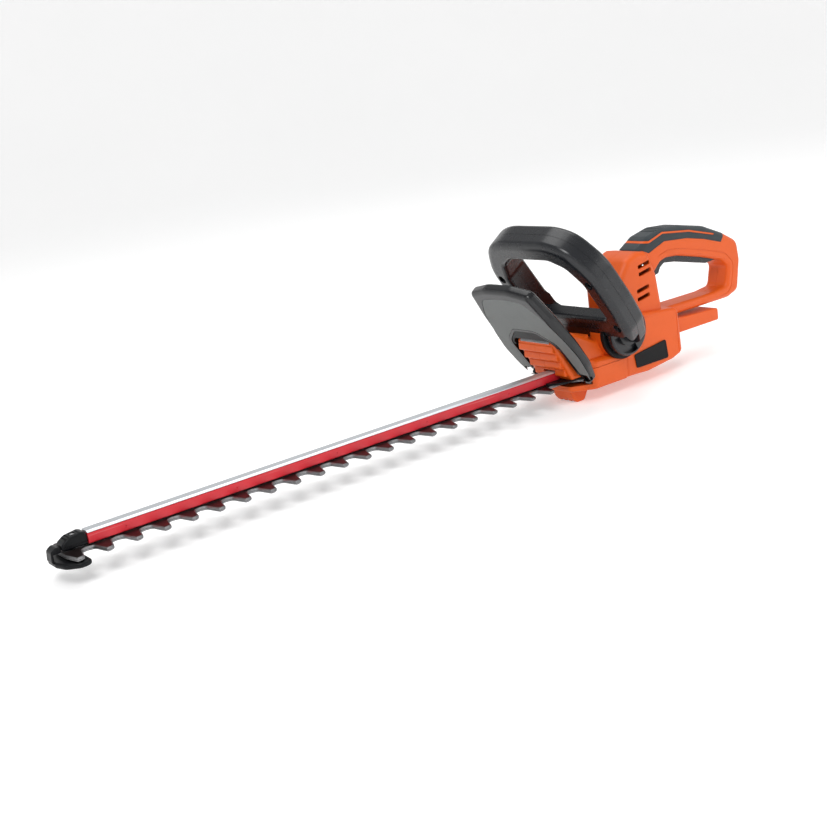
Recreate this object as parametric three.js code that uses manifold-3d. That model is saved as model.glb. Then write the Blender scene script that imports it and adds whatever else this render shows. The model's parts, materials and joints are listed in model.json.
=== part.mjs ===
// Battery hedge trimmer, bare tool. Millimetres, +Z up.
// X runs along the tool, from the blade tip at -X to the rear handle at +X, and Y runs across it.
// Shapes are drawn in the blade frame: X = 0 near the second tooth, Z = 0 where the two blades meet.
// The root group then moves that frame, so that the origin lies under the middle of the foot.
import * as THREE from 'three';
import { mergeVertices } from 'three/addons/utils/BufferGeometryUtils.js';
import Module from 'manifold-3d';

const wasm = await Module();
wasm.setup();

// ---- driving dimensions -------------------------------------------------------------------
const GAP = 0.3;                 // clearance between touching pieces
const FILLET_STEP = 0.52;        // largest turn between two points of a fillet, radians
const FOOT_X = 548;              // foot middle in the blade frame
const FOOT_DROP = 25;            // foot sole below the blades

const TOOTH_PITCH = 26.5;
const TOOTH_COUNT = 21;
const FIRST_TOOTH_X = -29.8;
const TOOTH_REACH = 27.5;        // tooth tip from the centre line
const SPINE_HALF = 10.5;         // blade spine half width at a tooth root
const BLADE_THICK = 1.8;
const STROKE = 7;                // each blade moves this far either way

const RAIL_START = -13.3;
const RAIL_END = 533;
const RAIL_HALF = 7;
const RAIL_BASE = 3;
const RAIL_TOP = 12.3;
const CAP_TOP = 14.4;
const BOLT_XS = [21, 130, 239, 348, 457];
const TIP_SCREW_X = -24;

const GEAR_X = 596;              // drive gear axis
const GEAR_TEETH = 48;
const PINION_TEETH = 8;
const GEAR_MODULE = 1.15;
const MOTOR_X = GEAR_X + GEAR_MODULE * (GEAR_TEETH + PINION_TEETH) / 2 + 0.3;
const ECCENTRIC_THROW = STROKE;
const ECCENTRIC_RADIUS = 12;
const SHAFT_RADIUS = 4.5;
const RUN_GAP = 0.16;            // radial clearance of a running fit
const MOTOR_RADIUS = 14.2;

const WALL = 2.8;                // moulded shell wall
const DECK_HALF = 37;            // gear case half width
const BODY_HALF = 35;            // lower body half width
const NOSE_HALF = 29;            // front body half width
const TOWER_HALF = 27;           // upper body half width
const LOOP_HALF = 16;            // rear handle half width
const SLIDE_HALF = 20;           // battery slide half width

const RING_LEAN = THREE.MathUtils.degToRad(34);
const HUB_RADIUS = 27;
const HUB_X = 599;               // front handle hub axis
const HUB_Z = 45;
const SHIELD_LEAN = THREE.MathUtils.degToRad(35);

// ---- colours and finishes -----------------------------------------------------------------
const finish = (color, roughness, metalness) => ({ color, roughness, metalness });
const ORANGE = finish(0xe8672d, 0.45, 0);
const DARK = finish(0x383c40, 0.5, 0);
const BLACK = finish(0x1d1f22, 0.55, 0);
const SHIELD_GREY = finish(0x63676a, 0.55, 0);
const RUBBER = finish(0x343e42, 0.85, 0);
const RED = finish(0xd8323c, 0.4, 0.1);
const ALLOY = finish(0xd5dade, 0.35, 0.9);
const STEEL = finish(0x9a9ea2, 0.3, 1);
const BOARD = finish(0x1f6a3a, 0.6, 0);
const COPPER = finish(0xb87333, 0.4, 0.9);

// ---- solids -------------------------------------------------------------------------------
function toSolid(geometry) {
  const bare = geometry.clone();
  bare.deleteAttribute('normal');
  bare.deleteAttribute('uv');
  const merged = mergeVertices(bare, 1e-6);
  return new wasm.Manifold(new wasm.Mesh({
    numProp: 3,
    vertProperties: Float32Array.from(merged.attributes.position.array),
    triVerts: Uint32Array.from(merged.index.array),
  }));
}

function toGeometry(solid) {
  const mesh = solid.getMesh();
  const geometry = new THREE.BufferGeometry();
  geometry.setAttribute('position', new THREE.BufferAttribute(mesh.vertProperties, 3));
  geometry.setIndex(new THREE.BufferAttribute(mesh.triVerts, 1));
  geometry.computeVertexNormals();
  return geometry;
}

const join = (...geometries) => toGeometry(geometries.map(toSolid).reduce((a, b) => a.add(b)));
const cut = (body, ...tools) => toGeometry(tools.map(toSolid).reduce((a, b) => a.subtract(b), toSolid(body)));
const common = (body, tool) => toGeometry(toSolid(body).intersect(toSolid(tool)));

function part(name, geometry, look) {
  const mesh = new THREE.Mesh(geometry, new THREE.MeshStandardMaterial(look));
  mesh.name = name;
  return mesh;
}

// A closed outline from corners [x, y, fillet radius]; each fillet is a circular arc tangent to both sides.
function rounded(corners) {
  const points = [];
  corners.forEach(([x, y, radius = 0], i) => {
    const here = new THREE.Vector2(x, y);
    if (radius === 0) {
      points.push(here);
      return;
    }
    const before = corners.at(i - 1);
    const after = corners[(i + 1) % corners.length];
    const back = new THREE.Vector2(before[0] - x, before[1] - y);
    const ahead = new THREE.Vector2(after[0] - x, after[1] - y);
    const turn = Math.PI - back.angleTo(ahead);
    const reach = Math.min(radius * Math.tan(turn / 2), 0.48 * back.length(), 0.48 * ahead.length());
    const start = here.clone().addScaledVector(back.clone().normalize(), reach);
    const bisector = back.normalize().add(ahead.normalize()).normalize();
    const centre = here.clone().addScaledVector(bisector, reach / Math.sin(turn / 2));
    const sense = Math.sign(ahead.cross(back)) || 1;
    const steps = Math.max(1, Math.round(turn / FILLET_STEP));
    for (let k = 0; k <= steps; k += 1) {
      points.push(start.clone().rotateAround(centre, (sense * turn * k) / steps));
    }
  });
  return points;
}

// The same corners moved inwards by a distance (outwards when negative), for a wall's inner face.
function inset(corners, distance) {
  const area = corners.reduce((sum, [x, y], i) => {
    const [nx, ny] = corners[(i + 1) % corners.length];
    return sum + x * ny - nx * y;
  }, 0);
  const side = Math.sign(area) * distance;
  const moved = (radius) => (radius === 0 ? 0 : Math.max(0.5, radius - distance));
  return corners.map(([x, y, radius = 0], i) => {
    const before = corners.at(i - 1);
    const after = corners[(i + 1) % corners.length];
    const a = new THREE.Vector2(x - before[0], y - before[1]).normalize();
    const b = new THREE.Vector2(after[0] - x, after[1] - y).normalize();
    const normal = new THREE.Vector2(-a.y - b.y, a.x + b.x).normalize();
    const stretch = side / Math.max(0.3, normal.x * -a.y + normal.y * a.x);
    return [x + normal.x * stretch, y + normal.y * stretch, moved(radius)];
  });
}

// The same body on the other side of the tool: reflected in Y, with its faces turned to point out again.
function flipped(geometry) {
  const copy = geometry.clone().scale(1, -1, 1);
  const order = copy.index.array;
  for (let i = 0; i < order.length; i += 3) {
    [order[i], order[i + 1]] = [order[i + 1], order[i]];
  }
  copy.computeVertexNormals();
  return copy;
}

const mirrored = (corners) => [...corners, ...corners.map(([x, y, r]) => [-x, y, r]).reverse()];

// An outline pushed along local Z between two levels, with an optional rounded or chamfered edge.
// A fillet stays wider than the edge, so that the edge's inner outline never folds over itself.
function prism(corners, low, high, { edge = 0, edgeSteps = 1, edgeDepth = edge, holes = [] } = {}) {
  const widened = (outline) => outline.map(([x, y, r = 0]) => [x, y, r === 0 ? 0 : Math.max(r, edge + 1.5)]);
  const shape = new THREE.Shape(rounded(widened(corners)));
  shape.holes = holes.map((hole) => new THREE.Path(rounded(widened(hole))));
  const geometry = new THREE.ExtrudeGeometry(shape, {
    depth: high - low - 2 * edgeDepth,
    bevelEnabled: edge > 0,
    bevelSize: edge,
    bevelThickness: edgeDepth,
    bevelOffset: -edge,
    bevelSegments: edgeSteps,
    steps: 1,
  });
  return geometry.translate(0, 0, low + edgeDepth);
}

// Outline in (X, Z), pushed along Y from one side to the other.
const sidePrism = (corners, y0, y1, options) => prism(corners, -y1, -y0, options).rotateX(Math.PI / 2);
// Outline in (Y, Z), pushed along X.
const TO_X = new THREE.Matrix4().makeBasis(
  new THREE.Vector3(0, 1, 0),
  new THREE.Vector3(0, 0, 1),
  new THREE.Vector3(1, 0, 0),
);
const longPrism = (corners, x0, x1, options) => prism(corners, x0, x1, options).applyMatrix4(TO_X);
const box = (x0, x1, y0, y1, z0, z1) => new THREE.BoxGeometry(x1 - x0, y1 - y0, z1 - z0)
  .translate((x0 + x1) / 2, (y0 + y1) / 2, (z0 + z1) / 2);
// A turned piece on a vertical axis, from [radius, height] points, closed on the axis.
function turned(profile, sides = 24) {
  const points = [[0, profile[0][1]], ...profile, [0, profile.at(-1)[1]]];
  return new THREE.LatheGeometry(points.map(([r, z]) => new THREE.Vector2(r, z)), sides).rotateX(Math.PI / 2);
}
// A turned ring whose profile closes on itself.
function ring(inner, outer, low, high, sides = 24) {
  const points = [[inner, low], [outer, low], [outer, high], [inner, high], [inner, low]];
  return new THREE.LatheGeometry(points.map(([r, z]) => new THREE.Vector2(r, z)), sides).rotateX(Math.PI / 2);
}
const upright = (radius, low, high, sides = 24) => turned([[radius, low], [radius, high]], sides);
const across = (radius, y0, y1, sides = 24) => upright(radius, y0, y1, sides).rotateX(-Math.PI / 2);

// A toothed wheel outline: each tooth is a trapezium between the root and tip circles.
function wheelOutline(teeth, module, phase) {
  const rootRadius = module * (teeth / 2 - 1.25);
  const tipRadius = module * (teeth / 2 + 0.9);
  const step = (2 * Math.PI) / teeth;
  const corner = (radius, angle) => [radius * Math.cos(angle), radius * Math.sin(angle)];
  return Array.from({ length: teeth }, (_, i) => phase + i * step).flatMap((angle) => [
    corner(rootRadius, angle - 0.3 * step),
    corner(tipRadius, angle - 0.09 * step),
    corner(tipRadius, angle + 0.09 * step),
    corner(rootRadius, angle + 0.3 * step),
  ]);
}

const trimmer = new THREE.Group();
trimmer.position.set(-FOOT_X, 0, FOOT_DROP);
const add = (group, ...pieces) => pieces.forEach((piece) => group.add(piece));

// ---- blades -------------------------------------------------------------------------------
const YOKE_HALF_X = ECCENTRIC_RADIUS + 2 * STROKE + 0.6;
const YOKE_HALF_Y = ECCENTRIC_RADIUS + STROKE + 0.6;
const TAIL_START = 552;
const TAIL_END = GEAR_X + YOKE_HALF_X + 4;
const TAIL_HALF = 27;

function bladeOutline() {
  const flank = [[-7.2, SPINE_HALF], [-3.6, TOOTH_REACH], [3.8, TOOTH_REACH - 1.8], [7.2, SPINE_HALF]];
  const gullet = [[TOOTH_PITCH / 2, SPINE_HALF - 1.5]];
  const side = [];
  for (let i = 0; i < TOOTH_COUNT; i += 1) {
    const x = FIRST_TOOTH_X + i * TOOTH_PITCH;
    side.push(...flank.map(([dx, y]) => [x + dx, y]));
    if (i < TOOTH_COUNT - 1) side.push(...gullet.map(([dx, y]) => [x + dx, y]));
  }
  side.push([TAIL_START - 16, SPINE_HALF], [TAIL_START, TAIL_HALF], [TAIL_END, TAIL_HALF]);
  return [...side.map(([x, y]) => [x, -y]), ...side.reverse()];
}

function blade(low) {
  const slotHalf = STROKE + 3;
  const slots = [TIP_SCREW_X, ...BOLT_XS].map((x) => [
    [x - slotHalf, -2.8, 2.7], [x + slotHalf, -2.8, 2.7], [x + slotHalf, 2.8, 2.7], [x - slotHalf, 2.8, 2.7],
  ]);
  const yoke = [
    [GEAR_X - YOKE_HALF_X, -YOKE_HALF_Y, 6], [GEAR_X + YOKE_HALF_X, -YOKE_HALF_Y, 6],
    [GEAR_X + YOKE_HALF_X, YOKE_HALF_Y, 6], [GEAR_X - YOKE_HALF_X, YOKE_HALF_Y, 6],
  ];
  return prism(bladeOutline(), low, low + BLADE_THICK, { holes: [...slots, yoke] });
}

add(
  trimmer,
  part('upper_blade', blade(GAP / 2), STEEL),
  part('lower_blade', blade(-GAP / 2 - BLADE_THICK), STEEL),
);

// ---- blade rail, its cap and the shoulder bolts ---------------------------------------------
const railSection = [
  [-RAIL_HALF, RAIL_BASE], [RAIL_HALF, RAIL_BASE], [RAIL_HALF, RAIL_TOP], [-RAIL_HALF, RAIL_TOP],
];
const capSection = [
  [-RAIL_HALF, RAIL_TOP + GAP], [RAIL_HALF, RAIL_TOP + GAP], [RAIL_HALF - 2.2, CAP_TOP],
  [2.2 - RAIL_HALF, CAP_TOP],
];
const boltPockets = BOLT_XS.map((x) => upright(2.6, RAIL_BASE - 1, RAIL_BASE + 6, 12).translate(x, 0, 0));
add(
  trimmer,
  part('guide_rail', cut(longPrism(railSection, RAIL_START, RAIL_END), ...boltPockets), RED),
  part('rail_cap', longPrism(capSection, RAIL_START, RAIL_END - 3), ALLOY),
);
const BOLT_HEAD_TOP = -BLADE_THICK - 0.6;
const boltProfile = [
  [4.6, BOLT_HEAD_TOP - 2.3], [4.6, BOLT_HEAD_TOP], [2.3, BOLT_HEAD_TOP], [2.3, RAIL_BASE + 5.5],
];
BOLT_XS.forEach((x, i) => {
  const bolt = part(`blade_bolt_${i + 1}`, turned(boltProfile, 10), STEEL);
  bolt.position.x = x;
  trimmer.add(bolt);
});

// ---- blade tip guard ------------------------------------------------------------------------
const GUARD_HALF = 7;
const GUARD_WAY_X = -44.4;       // front of the room that the blade tips move in
const GUARD_WAY_LOW = -2.9;
const GUARD_WAY_HIGH = 3.2;
const capSide = [
  [-37, GUARD_WAY_HIGH], [-13.8, GUARD_WAY_HIGH], [-13.8, 13.8], [-18, 15.2, 3], [-30, 13.6, 8],
  [-37, 9, 6],
];
const noseSide = [
  [GUARD_WAY_X, GUARD_WAY_LOW], [GUARD_WAY_X, GUARD_WAY_HIGH], [-37.6, GUARD_WAY_HIGH], [-37.6, 8],
  [-42, 9, 3], [-46.5, 6, 4], [-47.5, -3, 3], [-44, -7, 3], [-30, -8], [-30, GUARD_WAY_LOW],
];
const wingPlan = mirrored([[26, -20, 5], [29, -30, 10], [20, -42, 12], [8, -46, 6]])
  .map(([y, x, r]) => [x, y, r]);
const screwWay = join(upright(2.4, -20, 30, 12), upright(4, -20, -5.6, 12)).translate(TIP_SCREW_X, 0, 0);
const bladeWay = box(GUARD_WAY_X, 0, -40, 40, GUARD_WAY_LOW, GUARD_WAY_HIGH - 0.1);
const guardCap = sidePrism(capSide, -GUARD_HALF, GUARD_HALF, { edge: 2 });
const guardNose = sidePrism(noseSide, 1 - GUARD_HALF, GUARD_HALF - 1, { edge: 0.8 });
const guardWing = prism(wingPlan, -8, GUARD_WAY_LOW, { edge: 2 });
const tipScrew = turned([[3.7, -7.8], [3.7, -5.9], [2, -5.9], [2, 14]], 12);
add(
  trimmer,
  part('tip_guard_cap', cut(guardCap, screwWay), BLACK),
  part('tip_guard_skid', cut(join(guardNose, guardWing), screwWay, bladeWay), BLACK),
  part('tip_screw', tipScrew.translate(TIP_SCREW_X, 0, 0), STEEL),
);

// ---- gear case base with the foot -------------------------------------------------------------
const deckPlan = mirrored([[DECK_HALF, 603], [DECK_HALF, 556, 10], [21, 531, 8]])
  .map(([y, x, r]) => [x, y, r]);
const footSide = [
  [FOOT_X - 9, -5], [FOOT_X - 8, -16, 4], [FOOT_X - 5, -FOOT_DROP, 4], [FOOT_X + 6, -FOOT_DROP, 4],
  [FOOT_X + 13, -13, 5], [FOOT_X + 26, -9], [FOOT_X + 26, -5],
];
const BUSH_RADIUS = 6.3;
const base = cut(
  join(
    cut(prism(deckPlan, -10.5, 20, { edge: 4, edgeSteps: 2 }), box(500, 620, -60, 60, 13, 30)),
    sidePrism(footSide, -15, 15, { edge: 1.5 }),
  ),
  box(500, 552, -60, 60, -3.6, 30),
  box(551, 620, -DECK_HALF + 3.2, DECK_HALF - 3.2, -6.4, 30),
  upright(BUSH_RADIUS + GAP, -8.9, 0).translate(GEAR_X, 0, 0),
);
trimmer.add(part('gear_case_base', base, ORANGE));

// Blade root plate: a black spacer that clamps the blades where the rail meets the gear case.
const rootPlan = [
  [506, -RAIL_HALF - 1], [514, -20], [524, -25], [549, -25], [549, 25], [524, 25], [514, 20],
  [506, RAIL_HALF + 1], [RAIL_END + 1, RAIL_HALF + 1], [RAIL_END + 1, -RAIL_HALF - 1],
];
trimmer.add(part('blade_root_plate', prism(rootPlan, 2.8, 5.2, { edge: 0.5 }), BLACK));

// ---- places of the leaning front handle ------------------------------------------------------
// A leaning group: local X runs across the tool, local Y up the lean and local Z to the rear.
function leaningGroup(lean, x, z) {
  const group = new THREE.Group();
  group.quaternion.setFromRotationMatrix(new THREE.Matrix4().makeBasis(
    new THREE.Vector3(0, 1, 0),
    new THREE.Vector3(-Math.sin(lean), 0, Math.cos(lean)),
    new THREE.Vector3(Math.cos(lean), 0, Math.sin(lean)),
  ));
  group.position.set(x, 0, z);
  return group;
}
const RING_X = 563;
const RING_Z = 80;
const RING_FRONT = -12;
const RING_SPLIT = 4;
const RING_REAR = 21;
const HUB_LOCAL_Z = (HUB_X - RING_X) * Math.cos(RING_LEAN) + (HUB_Z - RING_Z) * Math.sin(RING_LEAN);
const HUB_LOCAL_Y = (HUB_Z - RING_Z) * Math.cos(RING_LEAN) - (HUB_X - RING_X) * Math.sin(RING_LEAN);
const BAR_LOW = -38;
const BAR_HIGH = -9;
const BAR_GAP = 0.6;
const handle = leaningGroup(RING_LEAN, RING_X, RING_Z);
handle.updateMatrix();
// The room that the front handle's crossbar takes above the housing.
const barRoom = box(-60, 60, BAR_LOW - BAR_GAP, BAR_HIGH, RING_FRONT - BAR_GAP, RING_SPLIT + BAR_GAP)
  .applyMatrix4(handle.matrix);

// ---- housing shells -----------------------------------------------------------------------
const SPLIT = GAP / 2;
const frontSide = [
  [530, 5.6], [506, 49, 3], [512, 57, 4], [538, 55, 8], [566, 41, 12], [620, 40], [620, 15], [606, 13.4],
  [552, 13.4], [552, 5.6],
];
const lowerSide = [
  [603.4, -10.5], [603.4, 55, 6], [640, 54], [694, 49, 7], [696, -3, 7], [680, -8, 12], [640, -12, 10],
  [620, -11],
];
const towerSide = [
  [611, 40], [611, 94, 14], [628, 115, 14], [646, 120.5], [662, 118, 8], [674, 92], [679, 52], [679, 40],
];
const loopSide = [
  [648, 60], [648, 110], [657, 120, 6], [676, 131, 10], [702, 136.5, 16], [730, 134.5, 20], [770, 126, 20],
  [803, 112, 12], [826, 99, 14], [829, 76, 14], [822, 40, 10], [804, 34.5, 10], [690, 34.5], [660, 34.5],
];
const handHole = [
  [680, 47, 3], [776, 46.5, 8], [800, 49, 7], [806, 72, 6], [796, 81.5, 8], [762, 91.5, 20], [722, 101, 12],
  [704, 102.5, 8], [693, 100, 6], [682, 90.5, 5], [679.5, 82],
];
const LOOP_EDGE = 5.4;
const SKIRT_LOW = 13.3;
const skirtPlan = [
  [612, -36.5], [612, 36.5], [558, 36.5, 10], [545, 28, 10], [545, -28, 10], [558, -36.5, 10],
];
const skirtBody = cut(prism(skirtPlan, 6, 21.5, { edge: 6 }), box(500, 650, -60, 60, -10, SKIRT_LOW));
const noseBody = sidePrism(frontSide, -NOSE_HALF, NOSE_HALF, { edge: 4, edgeSteps: 2 });
const lowerBody = sidePrism(lowerSide, -BODY_HALF, BODY_HALF, { edge: 5, edgeSteps: 2 });
const towerBody = (grow) => sidePrism(inset(towerSide, -grow), -TOWER_HALF - grow, TOWER_HALF + grow, {
  edge: 8, edgeSteps: 2,
});
const loopBody = (grow) => sidePrism(inset(loopSide, -grow), -LOOP_HALF - grow, LOOP_HALF + grow, {
  edge: LOOP_EDGE + grow, edgeSteps: 2, holes: [inset(handHole, grow)],
});

// Rubber over the top of the rear handle: a skin that the housing leaves room for.
const GRIP_THICK = 1.6;
const gripReach = [
  [628, 124], [640, 120.5], [664, 118], [674, 113.5], [700, 122], [737, 118.5], [766, 112], [795, 103],
  [802, 112], [808, 126], [700, 152], [628, 152],
];
const gripBlank = (grow) => common(loopBody(0.2), sidePrism(inset(gripReach, -grow), -24, 24));
const rubberGrip = cut(gripBlank(0), loopBody(-GRIP_THICK), towerBody(GAP));
const gripRoom = cut(gripBlank(GAP), loopBody(-GRIP_THICK - GAP));

// Trigger: a long paddle under the rear handle's top bar, on a pin at its front end.
const TRIGGER_X = 699;
const TRIGGER_Z = 107.6;
const TRIGGER_HALF = 9;
const triggerSide = [
  [687, 84.5], [694.5, 86], [698, 92, 5], [705, 96, 5], [722, 93.8, 8], [775, 81.5, 6], [790, 82.5],
  [790, 88], [760, 99], [722, 111], [696, 112], [690, 104],
];
const triggerRoom = [
  [682.6, 80], [797, 76], [797, 95], [760, 106], [724, 115], [690, 115], [686, 104], [682.6, 88],
];
const PIN_RADIUS = 2;

// Vent slots beside the motor fan, slanted up to the rear: four on each side of the tower.
const VENTS = [[653, 105.3], [653.5, 97], [648.5, 79], [648.5, 69.9]];
const VENT_LENGTH = 20;
const VENT_HEIGHT = 4.6;
const ventSlots = VENTS.map(([x, z]) => box(
  -VENT_LENGTH / 2, VENT_LENGTH / 2, -60, 60, -VENT_HEIGHT / 2, VENT_HEIGHT / 2,
).rotateY(-0.17).translate(x, 0, z));

const hollow = (corners, half) => sidePrism(inset(corners, WALL), -half + WALL, half - WALL);
const housingCavity = join(
  hollow(frontSide, NOSE_HALF),
  hollow(lowerSide, BODY_HALF),
  hollow(towerSide, TOWER_HALF),
  sidePrism(inset(loopSide, WALL + 0.6), WALL - LOOP_HALF, LOOP_HALF - WALL, {
    holes: [inset(handHole, -WALL)],
  }),
  box(600, 622, -DECK_HALF + 5.2, DECK_HALF - 5.2, -6.4, 12.6),
  box(557, 622, -31, 31, 12.6, 18.6),
);
const SCREW_HOLE = 2.2;
const HOUSING_SCREWS = [
  [546, 28, NOSE_HALF], [685, 40, BODY_HALF], [685, 6, BODY_HALF], [667, 64, TOWER_HALF],
  [815, 60, LOOP_HALF],
];
const shellScrewWay = (half) => across(SCREW_HOLE, half - 6, half + 6, 10);
const screwWays = HOUSING_SCREWS.map(([x, z, half]) => shellScrewWay(half).translate(x, 0, z));

const SADDLE_TOP = 57;
const COLLAR_RADIUS = 31;
function hubBoss(side) {
  const above = box(-50, 50, 0, 100, SADDLE_TOP - HUB_Z, 100);
  const disc = cut(across(HUB_RADIUS + 3, BODY_HALF - 15, BODY_HALF, 24), above);
  return (side < 0 ? disc.rotateZ(Math.PI) : disc).translate(HUB_X, 0, HUB_Z);
}
const collarRoom = (side) => across(COLLAR_RADIUS + GAP, BODY_HALF, BODY_HALF + 10, 32)
  .rotateZ(side < 0 ? Math.PI : 0).translate(HUB_X, 0, HUB_Z);
const wholeHousing = cut(
  cut(
    join(noseBody, lowerBody, towerBody(0), loopBody(0), skirtBody, hubBoss(-1), hubBoss(1)),
    housingCavity,
  ),
  gripRoom,
  sidePrism(triggerRoom, -TRIGGER_HALF - 0.5, TRIGGER_HALF + 0.5),
  across(PIN_RADIUS + GAP, -LOOP_HALF + 1.2, LOOP_HALF - 1.2, 12).translate(TRIGGER_X, 0, TRIGGER_Z),
  barRoom,
  collarRoom(-1),
  collarRoom(1),
  box(RAIL_END - 40, RAIL_END + GAP, -RAIL_HALF - GAP, RAIL_HALF + GAP, 0, CAP_TOP + GAP),
  ...ventSlots,
  ...screwWays,
);
add(
  trimmer,
  part('left_housing', cut(wholeHousing, box(400, 900, -SPLIT, 100, -50, 200)), ORANGE),
  part('right_housing', cut(wholeHousing, box(400, 900, -100, SPLIT, -50, 200)), ORANGE),
  part('rubber_grip', rubberGrip, RUBBER),
);
// A bright strip on the front edge of the nose, parallel to the face behind it.
const stripSide = [[506.28, 50.04], [505.32, 50.76], [509.72, 56.66], [510.68, 55.94]];
trimmer.add(part('nose_strip', sidePrism(stripSide, -22, 22), ALLOY));
HOUSING_SCREWS.forEach(([x, z, half], i) => {
  const screw = join(across(1.8, half - 14, half + 0.6, 10), across(3.6, half + GAP, half + 2.1, 10));
  trimmer.add(part(`housing_screw_${i + 1}`, screw.translate(x, 0, z), STEEL));
});

// ---- label plates, left blank -----------------------------------------------------------------
const plateSide = [[616.5, 12.5, 2], [619, -3, 2], [670, -3.2, 2], [667.5, 18.3, 2]];
add(
  trimmer,
  part('label_plate_left', sidePrism(plateSide, -BODY_HALF - 1.3, -BODY_HALF - GAP), DARK),
  part('label_plate_right', sidePrism(plateSide, BODY_HALF + GAP, BODY_HALF + 1.3), DARK),
);

// ---- drive: gear, opposed eccentrics and their bushes -----------------------------------------
const GEAR_LOW = 7.2;
const GEAR_HIGH = 11.8;
const gearHalfStep = Math.PI / GEAR_TEETH;
const gearBore = Array.from({ length: 24 }, (_, i) => i * Math.PI / 12)
  .map((angle) => [(SHAFT_RADIUS + 0.2) * Math.cos(angle), (SHAFT_RADIUS + 0.2) * Math.sin(angle)]);
const driveGear = prism(wheelOutline(GEAR_TEETH, GEAR_MODULE, gearHalfStep), GEAR_LOW, GEAR_HIGH, {
  holes: [gearBore],
});
const eccentricShaft = join(
  upright(SHAFT_RADIUS, -8.6, 17.4),
  upright(ECCENTRIC_RADIUS, 0.3, 2.4).translate(0, ECCENTRIC_THROW, 0),
  upright(ECCENTRIC_RADIUS, -2.4, -0.3).translate(0, -ECCENTRIC_THROW, 0),
);
const bush = (low, high) => ring(SHAFT_RADIUS + RUN_GAP, BUSH_RADIUS, low, high);
const PLATE_LOW = 13.8;
const PLATE_HIGH = 17.6;
const gearPlateOutline = [[566, -25, 4], [650, -25, 4], [650, 25, 4], [566, 25, 4]];
const PLATE_SCREWS = [[572, 20], [644, -20]];
const gearPlate = cut(
  prism(gearPlateOutline, PLATE_LOW, PLATE_HIGH),
  upright(BUSH_RADIUS + GAP, 0, 40).translate(GEAR_X, 0, 0),
  upright(6, 0, 40).translate(MOTOR_X, 0, 0),
  ...PLATE_SCREWS.map(([x, y]) => upright(1.9, 0, 40, 10).translate(x, y, 0)),
);
add(
  trimmer,
  part('drive_gear', driveGear.translate(GEAR_X, 0, 0), STEEL),
  part('eccentric_shaft', eccentricShaft.translate(GEAR_X, 0, 0), STEEL),
  part('shaft_bush_lower', bush(-8.6, -5).translate(GEAR_X, 0, 0), COPPER),
  part('shaft_bush_upper', bush(PLATE_LOW, PLATE_HIGH).translate(GEAR_X, 0, 0), COPPER),
  part('gearbox_plate', gearPlate, ALLOY),
);
PLATE_SCREWS.forEach(([x, y], i) => {
  const screw = turned([[1.6, 13.2], [1.6, 17.9], [3.2, 17.9], [3.2, 19.4]], 10).translate(x, y, 0);
  trimmer.add(part(`gearbox_screw_${i + 1}`, screw, STEEL));
});

// ---- motor ---------------------------------------------------------------------------------------
const MOTOR_LOW = 19;
const MOTOR_HIGH = 70;
const MOTOR_SHAFT = 1.6;
const closedTurn = (profile, sides = 24) => new THREE.LatheGeometry(
  [...profile, profile[0]].map(([r, z]) => new THREE.Vector2(r, z)),
  sides,
).rotateX(Math.PI / 2);
const motorCan = closedTurn([
  [3.4, MOTOR_LOW], [MOTOR_RADIUS, MOTOR_LOW], [MOTOR_RADIUS, MOTOR_HIGH - 4],
  [MOTOR_RADIUS - 1.4, MOTOR_HIGH - 4], [MOTOR_RADIUS - 1.4, MOTOR_LOW + 1.6], [3.4, MOTOR_LOW + 1.6],
]);
const endCap = ring(3.4, MOTOR_RADIUS, MOTOR_HIGH - 3.6, MOTOR_HIGH, 24);
const magnetRing = ring(MOTOR_RADIUS - 4, MOTOR_RADIUS - 1.8, 25, 62);
const ARMATURE_RADIUS = MOTOR_RADIUS - 4.6;
const armature = closedTurn([
  [MOTOR_SHAFT + 0.2, 27], [ARMATURE_RADIUS, 27], [ARMATURE_RADIUS, 60], [5, 60], [5, 65],
  [MOTOR_SHAFT + 0.2, 65],
], 20);
const motorBush = (low, high) => ring(MOTOR_SHAFT + RUN_GAP, 3.1, low, high, 16);
const FAN_LOW = 75;
const FAN_RADIUS = 13.4;
const fanBlade = box(3, FAN_RADIUS - 0.5, -0.6, 0.6, FAN_LOW + 0.8, FAN_LOW + 9);
const fan = cut(
  join(
    upright(FAN_RADIUS, FAN_LOW, FAN_LOW + 1.6),
    upright(4.2, FAN_LOW, FAN_LOW + 10, 16),
    ...Array.from({ length: 9 }, (_, i) => fanBlade.clone().rotateZ((i * 2 * Math.PI) / 9)),
  ),
  upright(MOTOR_SHAFT + 0.2, FAN_LOW - 2, FAN_LOW + 20, 16),
);
const pinionBore = Array.from({ length: 12 }, (_, i) => i * Math.PI / 6)
  .map((angle) => [(MOTOR_SHAFT + 0.12) * Math.cos(angle), (MOTOR_SHAFT + 0.12) * Math.sin(angle)]);
const pinion = prism(wheelOutline(PINION_TEETH, GEAR_MODULE, 0), GEAR_LOW - 0.4, GEAR_HIGH + 0.4, {
  holes: [pinionBore],
});
const motorPieces = [
  ['motor_can', motorCan, STEEL],
  ['motor_end_cap', endCap, BLACK],
  ['motor_magnet_1', cut(magnetRing, box(-30, 30, -3, 30, 0, 100)), BLACK],
  ['motor_magnet_2', cut(magnetRing, box(-30, 30, -30, 3, 0, 100)), BLACK],
  ['motor_bush_lower', motorBush(MOTOR_LOW - 0.4, MOTOR_LOW + 3), COPPER],
  ['motor_bush_upper', motorBush(MOTOR_HIGH - 3.6, MOTOR_HIGH + 0.4), COPPER],
  ['armature', armature, COPPER],
  ['motor_shaft', upright(MOTOR_SHAFT, GEAR_LOW - 1, FAN_LOW + 12, 12), STEEL],
  ['cooling_fan', fan, BLACK],
  ['motor_pinion', pinion, STEEL],
];
motorPieces.forEach(([name, geometry, look]) => {
  trimmer.add(part(name, geometry.translate(MOTOR_X, 0, 0), look));
});

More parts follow.
